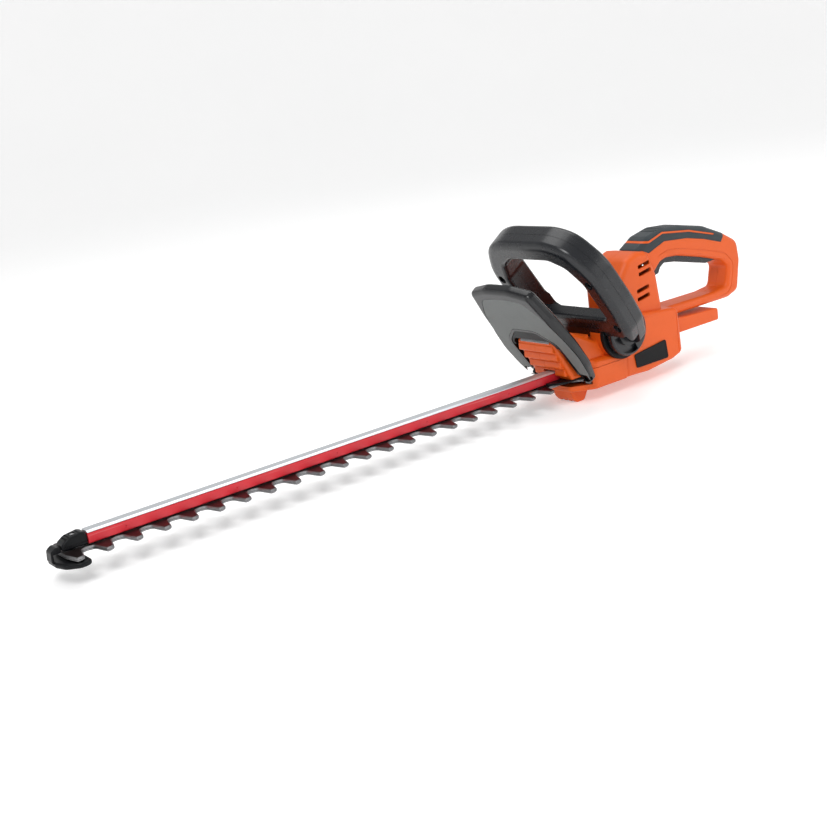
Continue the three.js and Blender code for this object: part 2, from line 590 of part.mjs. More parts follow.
// ---- trigger, switch and board ----------------------------------------------------------------------
const trigger = cut(
  sidePrism(triggerSide, -TRIGGER_HALF, TRIGGER_HALF, { edge: 1 }),
  across(PIN_RADIUS + RUN_GAP, -20, 20, 12).translate(TRIGGER_X, 0, TRIGGER_Z),
);
const triggerPin = across(PIN_RADIUS, -LOOP_HALF + 1.6, LOOP_HALF - 1.6, 12);
const springCoil = ring(2.3, 3.3, 9.7, 12.6, 12).rotateX(-Math.PI / 2).translate(TRIGGER_X, 0, TRIGGER_Z);
add(
  trimmer,
  part('trigger', trigger, DARK),
  part('trigger_pin', triggerPin.translate(TRIGGER_X, 0, TRIGGER_Z), STEEL),
  part('trigger_spring', springCoil, STEEL),
  part('power_switch', box(716, 744, -8, 8, 116, 127), BLACK),
  part('control_board', box(652, 690, -26, 26, 24, 25.8), BOARD),
);

// ---- battery slide and its terminals ---------------------------------------------------------------
const SLIDE_START = 696.4;
const SLIDE_END = 777;
const CHANNEL_START = 702;       // the pack slides in from the rear, up to here
const slideSide = [[SLIDE_START, 14.5], [SLIDE_END, 14.5, 2], [SLIDE_END, 28.5, 3], [SLIDE_START, 32]];
const channelMouth = box(CHANNEL_START, SLIDE_END + 5, -12.5, 12.5, 0, 25);
const channelRails = box(CHANNEL_START, SLIDE_END + 5, -16.5, 16.5, 18.5, 23);
const slideBlank = sidePrism(slideSide, -SLIDE_HALF, SLIDE_HALF, { edge: 1.2 });
add(
  trimmer,
  part('battery_slide', cut(slideBlank, channelMouth, channelRails), ORANGE),
  part('terminal_block', box(703, 728, -11.8, 11.8, 20.8, 24.7), BLACK),
);
[-7, 7].forEach((y, i) => {
  trimmer.add(part(`terminal_blade_${i + 1}`, box(706, 722, y - 0.4, y + 0.4, 15, 20.5), COPPER));
});

// ---- front handle ---------------------------------------------------------------------------
const ringOuter = mirrored([
  [63, -60, 12], [77, -28, 20], [80, 4, 30], [80, 56, 30], [60, 90, 26], [36, 100, 30],
]);
const ringInner = mirrored([[57, BAR_HIGH, 6], [57, 44, 16], [47, 66, 14], [30, 76, 20]]);
const HUB_LOW = 40.5;
const HUB_HIGH = 49;
const legsGap = mirrored([[HUB_LOW, -90], [HUB_LOW, BAR_LOW, 8]]);
const archGap = mirrored([
  [HUB_LOW, -90], [HUB_LOW, -40, 6], [57, -24, 8], [57, 44, 16], [47, 66, 14], [30, 76, 20],
]);

function hubDisc(side, radius, low, high) {
  const disc = upright(radius, low, high, 32).rotateY(side * Math.PI / 2);
  disc.translate(0, HUB_LOCAL_Y, HUB_LOCAL_Z);
  const drop = SADDLE_TOP - RING_Z;
  const above = box(-100, 100, 0, 100, -100, 100).rotateX(RING_LEAN)
    .translate(0, drop * Math.cos(RING_LEAN), drop * Math.sin(RING_LEAN));
  return cut(disc, above);
}
const ringBlank = prism(ringOuter, RING_FRONT, RING_REAR, {
  edge: 8, edgeDepth: 6, edgeSteps: 2, holes: [ringInner],
});
const HANDLE_SCREWS = [[-67, 44], [67, 44], [-66, -20], [66, -20]];
const wells = HANDLE_SCREWS.map(([x, y]) => join(
  upright(4.4, RING_FRONT - 5, RING_FRONT + 7, 16),
  upright(2.2, RING_FRONT, 15, 12),
).translate(x, y, 0));
const frontShell = cut(
  ringBlank,
  prism(legsGap, -60, 60),
  box(-100, 100, -100, 150, RING_SPLIT, 60),
  hubDisc(-1, HUB_RADIUS + GAP, 30, 70),
  hubDisc(1, HUB_RADIUS + GAP, 30, 70),
  ...wells,
);
const rearShell = cut(
  join(
    cut(ringBlank, prism(archGap, -60, 60), box(-100, 100, -100, 150, -60, RING_SPLIT + GAP)),
    hubDisc(-1, HUB_RADIUS, HUB_LOW, HUB_HIGH),
    hubDisc(1, HUB_RADIUS, HUB_LOW, HUB_HIGH),
  ),
  ...wells,
);
handle.add(part('front_handle_front', frontShell, DARK));
handle.add(part('front_handle_rear', rearShell, DARK));
HANDLE_SCREWS.forEach(([x, y], i) => {
  const under = RING_FRONT + 6.4;
  const screw = turned([[3.4, under - 3.4], [3.4, under], [1.8, under], [1.8, 14]], 12);
  handle.add(part(`handle_screw_${i + 1}`, screw.translate(x, y, 0), STEEL));
});
trimmer.add(handle);
const collar = cut(
  across(COLLAR_RADIUS, BODY_HALF + GAP, HUB_LOW - GAP, 32).translate(HUB_X, 0, HUB_Z),
  box(500, 700, 0, 100, SADDLE_TOP, 150),
  barRoom,
);
add(
  trimmer,
  part('handle_collar_right', collar, BLACK),
  part('handle_collar_left', flipped(collar), BLACK),
);

// ---- hand shield ------------------------------------------------------------------------------
const shield = leaningGroup(SHIELD_LEAN, 540, 4);
const shieldOutline = mirrored([
  [45, -3, 4], [55, 24, 30], [57, 56, 40], [53, 96, 30], [46, 131, 8], [18, 138, 30],
]);
const archFront = mirrored([[35, -30], [36, 58, 16], [16, 76, 12]]);
const archRear = mirrored([[31, -30], [31, 57, 6], [26, 62.5, 6]]);
const shieldBody = cut(
  prism(shieldOutline, -3, 10, { edge: 5, edgeDepth: 4 }),
  prism(archFront, -20, 3),
  prism(archRear, -20, 40),
);
shield.add(part('hand_shield', shieldBody, SHIELD_GREY));
trimmer.add(shield);

export default trimmer;
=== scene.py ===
import json
import math

import bmesh
import bpy
import numpy as np
from mathutils import Matrix, Vector


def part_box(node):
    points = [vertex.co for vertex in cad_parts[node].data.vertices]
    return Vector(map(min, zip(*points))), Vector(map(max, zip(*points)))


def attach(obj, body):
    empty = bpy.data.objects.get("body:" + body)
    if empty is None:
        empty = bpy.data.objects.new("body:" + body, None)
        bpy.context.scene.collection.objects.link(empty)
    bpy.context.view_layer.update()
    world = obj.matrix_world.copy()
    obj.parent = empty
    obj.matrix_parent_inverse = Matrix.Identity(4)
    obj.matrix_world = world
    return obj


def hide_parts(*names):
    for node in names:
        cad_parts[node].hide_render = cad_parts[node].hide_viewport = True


# Battery hedge trimmer, bare tool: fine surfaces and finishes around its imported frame, in metres, +Z up.
# Shapes are drawn in millimetres in the blade frame, where X = 0 is near the second tooth and Z = 0 is
# where the two blades meet. SHIFT takes that frame to the tool's own, whose origin is under the foot.
bl_info = {
    "name": "Hedge trimmer",
    "version": (1, 0, 0),
    "blender": (4, 5, 0),
    "location": "3D View > Sidebar > Trimmer",
    "description": "Builds a battery hedge trimmer's shells, blades, handles and finishes",
    "category": "Object",
}

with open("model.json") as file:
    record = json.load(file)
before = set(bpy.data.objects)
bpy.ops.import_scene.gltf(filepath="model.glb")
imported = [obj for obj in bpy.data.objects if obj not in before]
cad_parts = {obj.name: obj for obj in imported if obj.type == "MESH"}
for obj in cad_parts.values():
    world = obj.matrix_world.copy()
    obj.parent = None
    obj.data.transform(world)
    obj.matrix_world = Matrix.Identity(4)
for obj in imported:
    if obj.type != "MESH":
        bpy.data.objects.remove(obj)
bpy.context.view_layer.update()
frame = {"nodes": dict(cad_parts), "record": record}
MM = 0.001
RAIL_START = -13.3
RAIL_LOW, RAIL_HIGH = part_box("guide_rail")
SHIFT = np.array([
    RAIL_LOW.x - RAIL_START * MM,
    0.0,
    (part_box("upper_blade")[0].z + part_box("lower_blade")[1].z) / 2,
])
FOOT_DROP = SHIFT[2] / MM
RAIL_END = RAIL_START + (RAIL_HIGH.x - RAIL_LOW.x) / MM
GAP = 0.3                       # clearance between touching pieces


# ---- sizes and colours a user would change ----------------------------------------------------
def shade(red, green, blue):
    """A colour from 0 to 255 levels, as the linear values that shaders use."""
    levels = np.array([red, green, blue]) / 255
    linear = np.where(levels <= 0.04045, levels / 12.92, ((levels + 0.055) / 1.055) ** 2.4)
    return (*[float(v) for v in linear], 1.0)


def colour_choice(name, description, levels):
    return bpy.props.FloatVectorProperty(
        name=name, description=description, default=shade(*levels), size=4, min=0, max=1, subtype="COLOR")


def length_choice(name, description, millimetres):
    return bpy.props.FloatProperty(
        name=name, description=description, default=millimetres, min=0, soft_max=200, unit="NONE")


class TrimmerColours(bpy.types.PropertyGroup):
    housing: colour_choice("Housing", "Moulded housing shells", (214, 86, 17))
    handle: colour_choice("Handle", "Front handle and trigger", (22, 24, 28))
    trim: colour_choice("Trim", "Black moulded trim and label plates", (17, 18, 20))
    panel: colour_choice("Shield panel", "Grained face of the hand shield", (104, 107, 106))
    rubber: colour_choice("Rubber", "Overmould on the rear handle", (36, 44, 48))
    rail: colour_choice("Rail", "Powder coat on the blade rail", (200, 34, 46))
    alloy: colour_choice("Alloy", "Extruded cap of the rail", (214, 218, 222))
    steel: colour_choice("Steel", "Ground steel", (190, 190, 192))
    # The blades' flat-face colour: the dark is the oiled steel, and its red cast is a painted reflection of
    # the red rail.
    oiled: colour_choice("Oiled steel", "Dark oiled face of the blades", (52, 38, 38))


class TrimmerSizes(bpy.types.PropertyGroup):
    tooth_pitch: length_choice("Tooth pitch", "Distance between teeth, in millimetres", 26.5)
    tooth_reach: length_choice("Tooth reach", "Tooth tip from the centre line, in millimetres", 27.5)
    grind: length_choice("Grind", "Width of the ground edge of a tooth, in millimetres", 1.1)
    grain: length_choice("Grain", "Pitch of the moulded grain, in millimetres", 0.45)
    rib_pitch: length_choice("Rib pitch", "Distance between the ribs of the rubber grip, in millimetres", 4.0)


# ---- surfaces ---------------------------------------------------------------------------------
PLAN = Matrix.Identity(4)
UNDER = Matrix.Diagonal((1, 1, -1, 1))
# An outline in X and Z pushed along Y, and one in Y and Z pushed along X.
SIDE = Matrix(((1, 0, 0, 0), (0, 0, 1, 0), (0, 1, 0, 0), (0, 0, 0, 1)))
LONG = Matrix(((0, 0, 1, 0), (1, 0, 0, 0), (0, 1, 0, 0), (0, 0, 0, 1)))


def leaning(angle, x, z):
    """A place whose X runs across the tool, whose Y runs up a lean and whose Z runs to the rear."""
    sine, cosine = math.sin(angle), math.cos(angle)
    return Matrix(((0, -sine, cosine, x), (1, 0, 0, 0), (0, cosine, sine, z), (0, 0, 0, 1)))


def at(x, y, z, place=PLAN):
    """A place moved to a point."""
    return Matrix.Translation((x, y, z)) @ place


def both_sides(corners):
    """An outline's right half and its mirror image, as one closed outline."""
    return corners + [(-x, *rest) for x, *rest in reversed(corners)]


def arc(here, before, after, radius, step):
    """Points of a circle of that radius, tangent to both sides of a corner, from one side to the other."""
    back, ahead = before - here, after - here
    back_length, ahead_length = np.linalg.norm(back), np.linalg.norm(ahead)
    back, ahead = back / back_length, ahead / ahead_length
    turn = math.pi - math.acos(np.clip(back @ ahead, -1, 1))
    if radius <= 0 or turn < 0.02:
        return here[None]
    reach = min(radius * math.tan(turn / 2), 0.48 * back_length, 0.48 * ahead_length)
    radius = reach / math.tan(turn / 2)
    bisector = (back + ahead) / np.linalg.norm(back + ahead)
    centre = here + bisector * reach / math.sin(turn / 2)
    start = here + back * reach - centre
    sense = 1 if ahead[0] * back[1] - ahead[1] * back[0] > 0 else -1
    angles = sense * np.linspace(0, turn, max(2, round(turn / step) + 1))
    cosine, sine = np.cos(angles), np.sin(angles)
    return centre + np.stack([start[0] * cosine - start[1] * sine, start[0] * sine + start[1] * cosine], -1)


def lozenge(x0, x1, half, radius):
    """Corners of a long hole or plate about the X axis."""
    return [(x0, -half, radius), (x1, -half, radius), (x1, half, radius), (x0, half, radius)]


def rounded(corners, least=0.0, step=0.13):
    """A closed outline whose corners (x, y, radius) are turned into arcs. No arc is tighter than least."""
    points = [np.array(corner[:2], float) for corner in corners]
    radii = [corner[2] if len(corner) > 2 else 0 for corner in corners]
    arcs = []
    for i, (here, radius) in enumerate(zip(points, radii)):
        wanted = max(radius, least) if radius > 0 else 0
        arcs.append(arc(here, points[i - 1], points[(i + 1) % len(points)], wanted, step))
    outline = np.concatenate(arcs)
    return outline[np.linalg.norm(outline - np.roll(outline, 1, 0), axis=1) > 1e-4]


def circle(radius, sides=72):
    """Points of a circle: radius times cosine and sine of evenly spaced angles."""
    angles = np.linspace(0, 2 * math.pi, sides, endpoint=False)
    return radius * np.stack([np.cos(angles), np.sin(angles)], -1)


def inward(outline):
    """How each point moves when the outline shrinks by one: the sum of its two sides' inward normals,
    divided by one plus the cosine of the angle between them."""
    ahead = np.roll(outline, -1, 0) - outline
    x, y = outline.T
    turning = np.sign(np.sum(x * np.roll(y, -1) - np.roll(x, -1) * y))
    normals = turning * np.stack([-ahead[:, 1], ahead[:, 0]], -1) / np.linalg.norm(ahead, axis=1)[:, None]
    before = np.roll(normals, 1, 0)
    return (normals + before) / np.maximum(0.35, 1 + np.sum(normals * before, 1))[:, None]


def grown(corners, distance):
    """The same corners moved outwards, with their radii kept in step."""
    points = np.array([corner[:2] for corner in corners], float)
    moved = points - inward(points) * distance
    radii = [corner[2] if len(corner) > 2 else 0 for corner in corners]
    return [(x, y, max(0.5, r + distance) if r else 0) for (x, y), r in zip(moved, radii)]


def blank(points, faces, place):
    """A closed mesh from points in millimetres in a place, with every face turned outwards."""
    matrix = np.array(place)
    world = (points @ matrix[:3, :3].T + matrix[:3, 3]) * MM + SHIFT
    mesh = bpy.data.meshes.new("blank")
    mesh.from_pydata(world.tolist(), [], faces)
    shape = bmesh.new()
    shape.from_mesh(mesh)
    bmesh.ops.remove_doubles(shape, verts=shape.verts, dist=1e-7)
    bmesh.ops.recalc_face_normals(shape, faces=shape.faces)
    shape.to_mesh(mesh)
    shape.free()
    made = bpy.data.objects.new("blank", mesh)
    bpy.context.scene.collection.objects.link(made)
    return made


def ring_faces(rings, around):
    """Quads between neighbouring rings of a grid whose columns close into a loop, and a cap at each end."""
    ring, column = np.meshgrid(np.arange(rings - 1), np.arange(around), indexing="ij")
    here = ring * around + column
    beside = ring * around + (column + 1) % around
    quads = np.stack([here, beside, beside + around, here + around], -1).reshape(-1, 4)
    caps = [list(range(around))[::-1], list(range((rings - 1) * around, rings * around))]
    return quads.tolist() + caps


def carried(outline, insets, levels, place):
    """An outline carried up through levels, shrunk by an inset at each: point = outline + inset * inward."""
    flat = outline[None] + inward(outline)[None] * np.asarray(insets, float)[:, None, None]
    height = np.broadcast_to(np.asarray(levels, float)[:, None, None], (*flat.shape[:2], 1))
    points = np.concatenate([flat, height], -1).reshape(-1, 3)
    return blank(points, ring_faces(len(levels), len(outline)), place)


def moulding(corners, low, high, edge=0.0, place=SIDE, depth=None, low_edge=None, steps=5):
    """A solid between two levels whose rims are quarter ellipses: inset = edge * (1 - sin t) where the
    level is depth * (1 - cos t) from the face, and t runs from nought to a right angle."""
    depth = edge if depth is None else depth
    low_edge = edge if low_edge is None else low_edge
    t = np.linspace(0, math.pi / 2, steps + 1)
    top_inset, top_level = edge * (1 - np.sin(t)), high - depth * (1 - np.cos(t))
    low_depth = depth * low_edge / edge if edge else 0
    low_inset, low_level = low_edge * (1 - np.sin(t)), low + low_depth * (1 - np.cos(t))
    if not edge:
        top_inset, top_level = np.zeros(1), np.array([high])
    if not low_edge:
        low_inset, low_level = np.zeros(1), np.array([low])
    outline = corners if isinstance(corners, np.ndarray) else rounded(corners, max(edge, low_edge) + 1)
    insets = np.concatenate([low_inset, top_inset[::-1]])
    return carried(outline, insets, np.concatenate([low_level, top_level[::-1]]), place)


def flared(corners, low, high, edge, place=SIDE, depth=None, steps=5):
    """A cutter for a hole with rounded rims: it widens towards both faces by edge * (1 - sin t), and goes
    on past them at that width. t starts above nought, so that the rim meets the face at a small angle."""
    depth = edge if depth is None else depth
    t = np.linspace(math.pi / 16, math.pi / 2, steps + 1)
    widths, levels = -edge * (1 - np.sin(t)), depth * (1 - np.cos(t))
    outline = corners if isinstance(corners, np.ndarray) else rounded(corners)
    insets = np.concatenate([widths[:1], widths, widths[::-1], widths[:1]])
    heights = np.concatenate([[low - 5], low + levels, (high - levels)[::-1], [high + 5]])
    return carried(outline, insets, heights, place)


def turned(profile, place=PLAN, sides=48):
    """A turned solid: each (radius, height) of the profile carried round the axis."""
    profile = np.array([(0, profile[0][1]), *profile, (0, profile[-1][1])], float)
    angles = np.linspace(0, 2 * math.pi, sides, endpoint=False)
    points = np.stack([
        profile[:, :1] * np.cos(angles),
        profile[:, :1] * np.sin(angles),
        np.broadcast_to(profile[:, 1:], (len(profile), sides)),
    ], -1).reshape(-1, 3)
    return blank(points, ring_faces(len(profile), sides)[:-2], place)


def block(x0, x1, y0, y1, z0, z1, place=PLAN):
    """A plain cutting block between three pairs of levels."""
    return moulding(np.array([(x0, y0), (x1, y0), (x1, y1), (x0, y1)], float), z0, z1, 0, place)


def worked(body, tools, operation):
    """Joins, cuts or keeps with each tool in turn. The tools are used up."""
    for tool in tools:
        step = body.modifiers.new("work", "BOOLEAN")
        step.object, step.operation, step.solver = tool, operation, "MANIFOLD"
    bpy.context.view_layer.update()
    mesh = bpy.data.meshes.new_from_object(body.evaluated_get(bpy.context.evaluated_depsgraph_get()))
    if not mesh.polygons:
        raise RuntimeError(f"{operation} left nothing of a piece")
    body.modifiers.clear()
    old, body.data = body.data, mesh
    bpy.data.meshes.remove(old)
    for tool in tools:
        bpy.data.meshes.remove(tool.data)
    return body


def join(body, *tools):
    return worked(body, tools, "UNION")


def cut(body, *tools):
    return worked(body, tools, "DIFFERENCE")


def common(body, *tools):
    return worked(body, tools, "INTERSECT")


def copied(body):
    again = body.copy()
    again.data = body.data.copy()
    bpy.context.scene.collection.objects.link(again)
    return again


def heap(*blanks):
    """Solids that don't touch, as one mesh, for cutting in one go."""
    shape = bmesh.new()
    for item in blanks:
        shape.from_mesh(item.data)
    shape.to_mesh(blanks[0].data)
    shape.free()
    for item in blanks[1:]:
        bpy.data.meshes.remove(item.data)
    return blanks[0]


def piece(body, name, finish, rides, slot, *nodes, soften=0.0, sharp=34):
    """Names a solid, gives it a finish, softens its sharp edges, puts it on its body's empty and hides the
    nodes it stands for.
    """
    body.name = body.data.name = name
    body.data.materials.clear()
    body.data.materials.append(finishes()[finish])
    body.data.polygons.foreach_set("use_smooth", np.ones(len(body.data.polygons), bool))
    if soften:
        bevel = body.modifiers.new("soften", "BEVEL")
        bevel.width, bevel.segments = soften * MM, 2
        bevel.limit_method, bevel.angle_limit = "ANGLE", math.radians(sharp)
    body.data.set_sharp_from_angle(angle=math.radians(sharp))
    level = body.modifiers.new("even shading", "WEIGHTED_NORMAL")
    level.keep_sharp = True
    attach(body, rides)
    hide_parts(*nodes)
    return body


# ---- finishes ---------------------------------------------------------------------------------
class Value:
    """A node's output. Arithmetic on it adds Math nodes."""

    def __init__(self, finish, socket):
        self.finish, self.socket = finish, socket

    def math(self, operation, *values):
        return self.finish.node("ShaderNodeMath", {"operation": operation}, dict(enumerate(values)))

    def __add__(self, other):
        return self.math("ADD", self, other)

    def __sub__(self, other):
        return self.math("SUBTRACT", self, other)

    def __rsub__(self, other):
        return self.math("SUBTRACT", other, self)

    def __mul__(self, other):
        return self.math("MULTIPLY", self, other)

    def __truediv__(self, other):
        return self.math("DIVIDE", self, other)

    __radd__, __rmul__ = __add__, __mul__

    def between(self, low, high):
        """Nought below low, one above high, and smooth between."""
        ends = {"Value": self, "From Min": low, "From Max": high}
        return self.finish.node("ShaderNodeMapRange", {"interpolation_type": "SMOOTHSTEP"}, ends)


class Finish:
    """A material made by code: one shader, whose inputs are numbers, colours or values."""

    def __init__(self, name):
        self.material = bpy.data.materials.new(name)
        self.material.use_nodes = True
        self.tree = self.material.node_tree
        self.tree.nodes.clear()
        self.place = self.node("ShaderNodeTexCoord", {}, {}, "Object")

    def node(self, kind, settings, inputs, output=0):
        """Adds a node of any type: its settings first, then its inputs, and gives one output."""
        added = self.tree.nodes.new(kind)
        for key, setting in settings.items():
            setattr(added, key, setting)
        for key, value in inputs.items():
            if isinstance(value, Value):
                self.tree.links.new(value.socket, added.inputs[key])
            else:
                added.inputs[key].default_value = value
        return None if output is None else Value(self, added.outputs[output])

    def noise(self, scale, detail=2.0, stretch=(1, 1, 1), roughness=0.5):
        """Soft random values from 0 to 1. scale is how many patches fit in a metre."""
        spread = self.node("ShaderNodeMapping", {}, {"Vector": self.place, "Scale": stretch})
        inputs = {"Vector": spread, "Scale": scale, "Detail": detail, "Roughness": roughness}
        return self.node("ShaderNodeTexNoise", {}, inputs, "Fac")

    def mix(self, mask, first, second):
        """first where the mask is 0 and second where it is 1."""
        return self.node("ShaderNodeMix", {"data_type": "RGBA"}, {0: mask, 6: first, 7: second}, 2)

    def split(self, vector):
        """The three parts of a vector."""
        first = self.node("ShaderNodeSeparateXYZ", {}, {0: vector})
        return [Value(self, part) for part in first.socket.node.outputs]

    def upright(self):
        """How far the surface faces up: 1 on top, 0 on a wall and -1 below."""
        return self.split(self.node("ShaderNodeNewGeometry", {}, {}, "Normal"))[2]

    def bump(self, height, distance):
        return self.node("ShaderNodeBump", {}, {"Distance": distance, "Height": height}, "Normal")

    def done(self, **inputs):
        """Adds the shader, with its inputs by name, and gives the material."""
        named = {key.replace("_", " ").title().replace("Ior", "IOR"): value for key, value in inputs.items()}
        surface = self.node("ShaderNodeBsdfPrincipled", {}, named, "BSDF")
        self.node("ShaderNodeOutputMaterial", {}, {"Surface": surface}, None)
        return self.material


def tinted(colour, factor):
    """A colour made lighter or darker by a factor."""
    return (*[min(1.0, c * factor) for c in colour[:3]], 1.0)


def moulded(name, colour, roughness, grain, depth=0.02, tone=0.12, shine=0.35):
    """Moulded plastic: fine spark-eroded grain, slow changes of tone and gloss, and faint dark rubbing."""
    finish = Finish(name)
    slow = finish.noise(9, 3)
    handled = finish.noise(70, 5, roughness=0.65).between(0.45, 0.75)
    fine = finish.noise(1000 / grain, 2)
    base = finish.mix(slow, tinted(colour, 1 - tone), tinted(colour, 1 + tone))
    base = finish.mix(handled * 0.18, base, tinted(colour, 0.8))
    return finish.done(
        base_color=base,
        roughness=roughness + (slow - 0.5) * 0.12 + handled * 0.05,
        specular_ior_level=shine,
        normal=finish.bump(fine, depth * MM),
    )


def rubber_finish(name, colour):
    """Soft overmoulded rubber: matt, with a fine pebble and paler, drier patches."""
    finish = Finish(name)
    pebble = finish.noise(1800, 3)
    dry = finish.noise(60, 4).between(0.4, 0.7)
    return finish.done(
        base_color=finish.mix(dry * 0.5, colour, tinted(colour, 1.35)),
        roughness=0.78 + dry * 0.12,
        sheen_weight=0.15,
        normal=finish.bump(pebble, 0.04 * MM),
    )


def powder_coat(name, colour):
    """Powder coat: orange peel, slow tone changes and fine scratches along the rail."""
    finish = Finish(name)
    peel = finish.noise(420, 2)
    slow = finish.noise(6, 3)
    scratches = finish.noise(300, 4, (0.03, 1, 1)).between(0.62, 0.7)
    base = finish.mix(slow, tinted(colour, 0.88), tinted(colour, 1.15))
    return finish.done(
        base_color=finish.mix(scratches * 0.12, base, (0.85, 0.5, 0.5, 1)),
        roughness=0.34 + slow * 0.1 + scratches * 0.1,
        specular_ior_level=0.5,
        normal=finish.bump(peel, 0.03 * MM),
    )


def machined_metal(name, colour, roughness, streak=0.12):
    """Bare metal with fine tool marks and slightly duller patches."""
    finish = Finish(name)
    marks = finish.noise(900, 3)
    patches = finish.noise(25, 3)
    return finish.done(
        base_color=finish.mix(marks, tinted(colour, 1 - streak), tinted(colour, 1 + streak)),
        roughness=roughness + (marks - 0.5) * 0.16 + patches * 0.08,
        metallic=1.0,
        normal=finish.bump(marks, 0.012 * MM),
    )


def cap_finish(name, colour):
    """Extruded alloy: a brushed flat top, rougher than the bevels beside it. The top's darker mid tone is
    painted shade and the bevels' lighter tone a painted highlight, chosen by which way each face is turned.
    """
    finish = Finish(name)
    # level picks the upward faces: the flat top gets painted shade and the sloped bevels a painted highlight
    level = finish.upright().between(0.86, 0.96)
    streaks = finish.noise(900, 3, (0.02, 1, 1))
    top = finish.mix(streaks, tinted(colour, 0.74), tinted(colour, 0.84))
    return finish.done(
        # Painted highlight on the bevels and painted shade on the top; the brushing streaks and the change in
        # roughness are the alloy's own finish.
        base_color=finish.mix(level, tinted(colour, 1.15), top),
        roughness=0.3 + level * 0.12 + (streaks - 0.5) * 0.12,
        metallic=0.6,
        normal=finish.bump(streaks, 0.012 * MM),
    )


def blade_finish(name, oiled, ground):
    """Oiled blade steel: dark on the flat faces and bright with grinding lines on the sloped edges."""
    finish = Finish(name)
    upright = finish.upright()
    sloped = 1 - upright.math("ABSOLUTE", upright).between(0.86, 0.97)
    lines = finish.noise(1400, 2, (1, 0.05, 1))
    stain = finish.noise(55, 5, roughness=0.7).between(0.4, 0.75)
    # flat: the chosen oiled colour, whose red cast is a painted reflection of the rail, with paler stains.
    flat = finish.mix(stain, oiled, tinted(oiled, 1.7))
    edge = finish.mix(lines, tinted(ground, 0.3), tinted(ground, 0.6))
    return finish.done(
        base_color=finish.mix(sloped, flat, edge),
        roughness=0.3 + stain * 0.16 + lines * 0.08,
        metallic=0.9,
        normal=finish.bump(lines, 0.01 * MM),
    )


def circuit(name):
    """A control board: green solder mask with a grid of tinned pads."""
    finish = Finish(name)
    pad_pitch = 1.27
    x, y = finish.split(finish.place)[:2]
    rows, columns = [along.math("PINGPONG", along, pad_pitch * MM) / MM for along in (x, y)]
    pads = rows.between(0.9, 1.0) * columns.between(0.9, 1.0)
    return finish.done(
        base_color=finish.mix(pads, shade(22, 96, 52), shade(200, 200, 190)),
        roughness=0.35,
        metallic=pads * 0.8,
    )


def winding(name):
    """Copper wire wound round the armature: fine ridges round the motor's axis, with painted shade in the
    grooves between turns and a painted highlight on their crests.
    """
    finish = Finish(name)
    wire = 0.4 * MM
    height = finish.split(finish.place)[2]
    ridges = height.math("PINGPONG", height, wire) / wire
    return finish.done(
        # The colour runs from dark copper in each groove, painted shade, to light copper on each crest, a
        # painted highlight.
        base_color=finish.mix(ridges, shade(120, 58, 26), shade(214, 128, 70)),
        roughness=0.35,
        metallic=0.85,
        normal=finish.bump(ridges, 0.15 * MM),
    )


# ---- the tool's outlines ----------------------------------------------------------------------
NOSE_SIDE = [
    (530, 5.6), (506, 49, 3), (512, 57, 4), (538, 55, 8), (566, 41, 12), (620, 40), (620, 15), (606, 13.4),
    (552, 13.4), (552, 5.6)]
LOWER_SIDE = [
    (603.4, -10.5), (603.4, 55, 6), (640, 54), (694, 49, 7), (696, -3, 7), (680, -8, 12), (640, -12, 10),
    (620, -11)]
TOWER_SIDE = [
    (611, 40), (611, 94, 14), (628, 115, 14), (646, 120.5), (662, 118, 8), (674, 92), (679, 52), (679, 40)]
LOOP_SIDE = [
    (648, 60), (648, 110), (657, 120, 6), (676, 131, 10), (702, 136.5, 16), (730, 134.5, 20), (770, 126, 20),
    (803, 112, 12), (826, 99, 14), (829, 76, 14), (822, 40, 10), (804, 34.5, 10), (690, 34.5), (660, 34.5)]
HAND_HOLE = [
    (680, 47, 3), (776, 46.5, 8), (800, 49, 7), (806, 72, 6), (796, 81.5, 8), (762, 91.5, 20), (722, 101, 12),
    (704, 102.5, 8), (693, 100, 6), (682, 90.5, 5), (679.5, 82)]
GRIP_REACH = [
    (628, 124), (640, 120.5), (664, 118), (674, 113.5), (700, 122), (737, 118.5), (766, 112), (795, 103),
    (802, 112), (808, 126), (700, 152), (628, 152)]
STRIPE = [
    (640, 129.2), (675.5, 124.3), (698.5, 130.6), (741.5, 124.9), (783, 113.6), (784, 115.0), (741.5, 126.9),
    (698.5, 132.6), (675.5, 126.5), (640, 131.6)]
TRIGGER_SIDE = [
    (687, 84.5, 1), (694.5, 86, 1.5), (698, 92, 5), (705, 96, 5), (722, 93.8, 8), (775, 81.5, 6),
    (790, 82.5, 2), (790, 88, 1), (760, 99), (722, 111), (696, 112), (690, 104)]
TRIGGER_ROOM = [
    (682.6, 80), (797, 76), (797, 95), (760, 106), (724, 115), (690, 115), (686, 104), (682.6, 88)]
TRIGGER_PIN_X, TRIGGER_PIN_Z = 699, 107.6
VENTS = [(653, 105.3), (653.5, 97), (648.5, 79), (648.5, 69.9)]
NOSE_HALF, LOWER_HALF, TOWER_HALF, LOOP_HALF = 29, 35, 27, 16
DECK_HALF = 37
WALL = 2.8
GRIP_SKIN = 1.6
HUB_X, HUB_Z, HUB_RADIUS, COLLAR_RADIUS, SADDLE_TOP = 599, 45, 27, 31, 57
HUB_INNER, HUB_OUTER = 40.5, 49
RING = leaning(math.radians(34), 563, 80)
RING_FRONT, RING_SPLIT, RING_REAR = -12, 4, 21
BAR_LOW, BAR_HIGH = -38, -9
SHIELD = leaning(math.radians(35), 540, 4)
HOUSING_SCREWS = [
    (546, 28, NOSE_HALF), (685, 40, LOWER_HALF), (685, 6, LOWER_HALF), (667, 64, TOWER_HALF),
    (815, 60, LOOP_HALF)]
HANDLE_SCREWS = [(-67, 44), (67, 44), (-66, -20), (66, -20)]
BLADE_GAP, BLADE_THICK = 0.15, 1.8
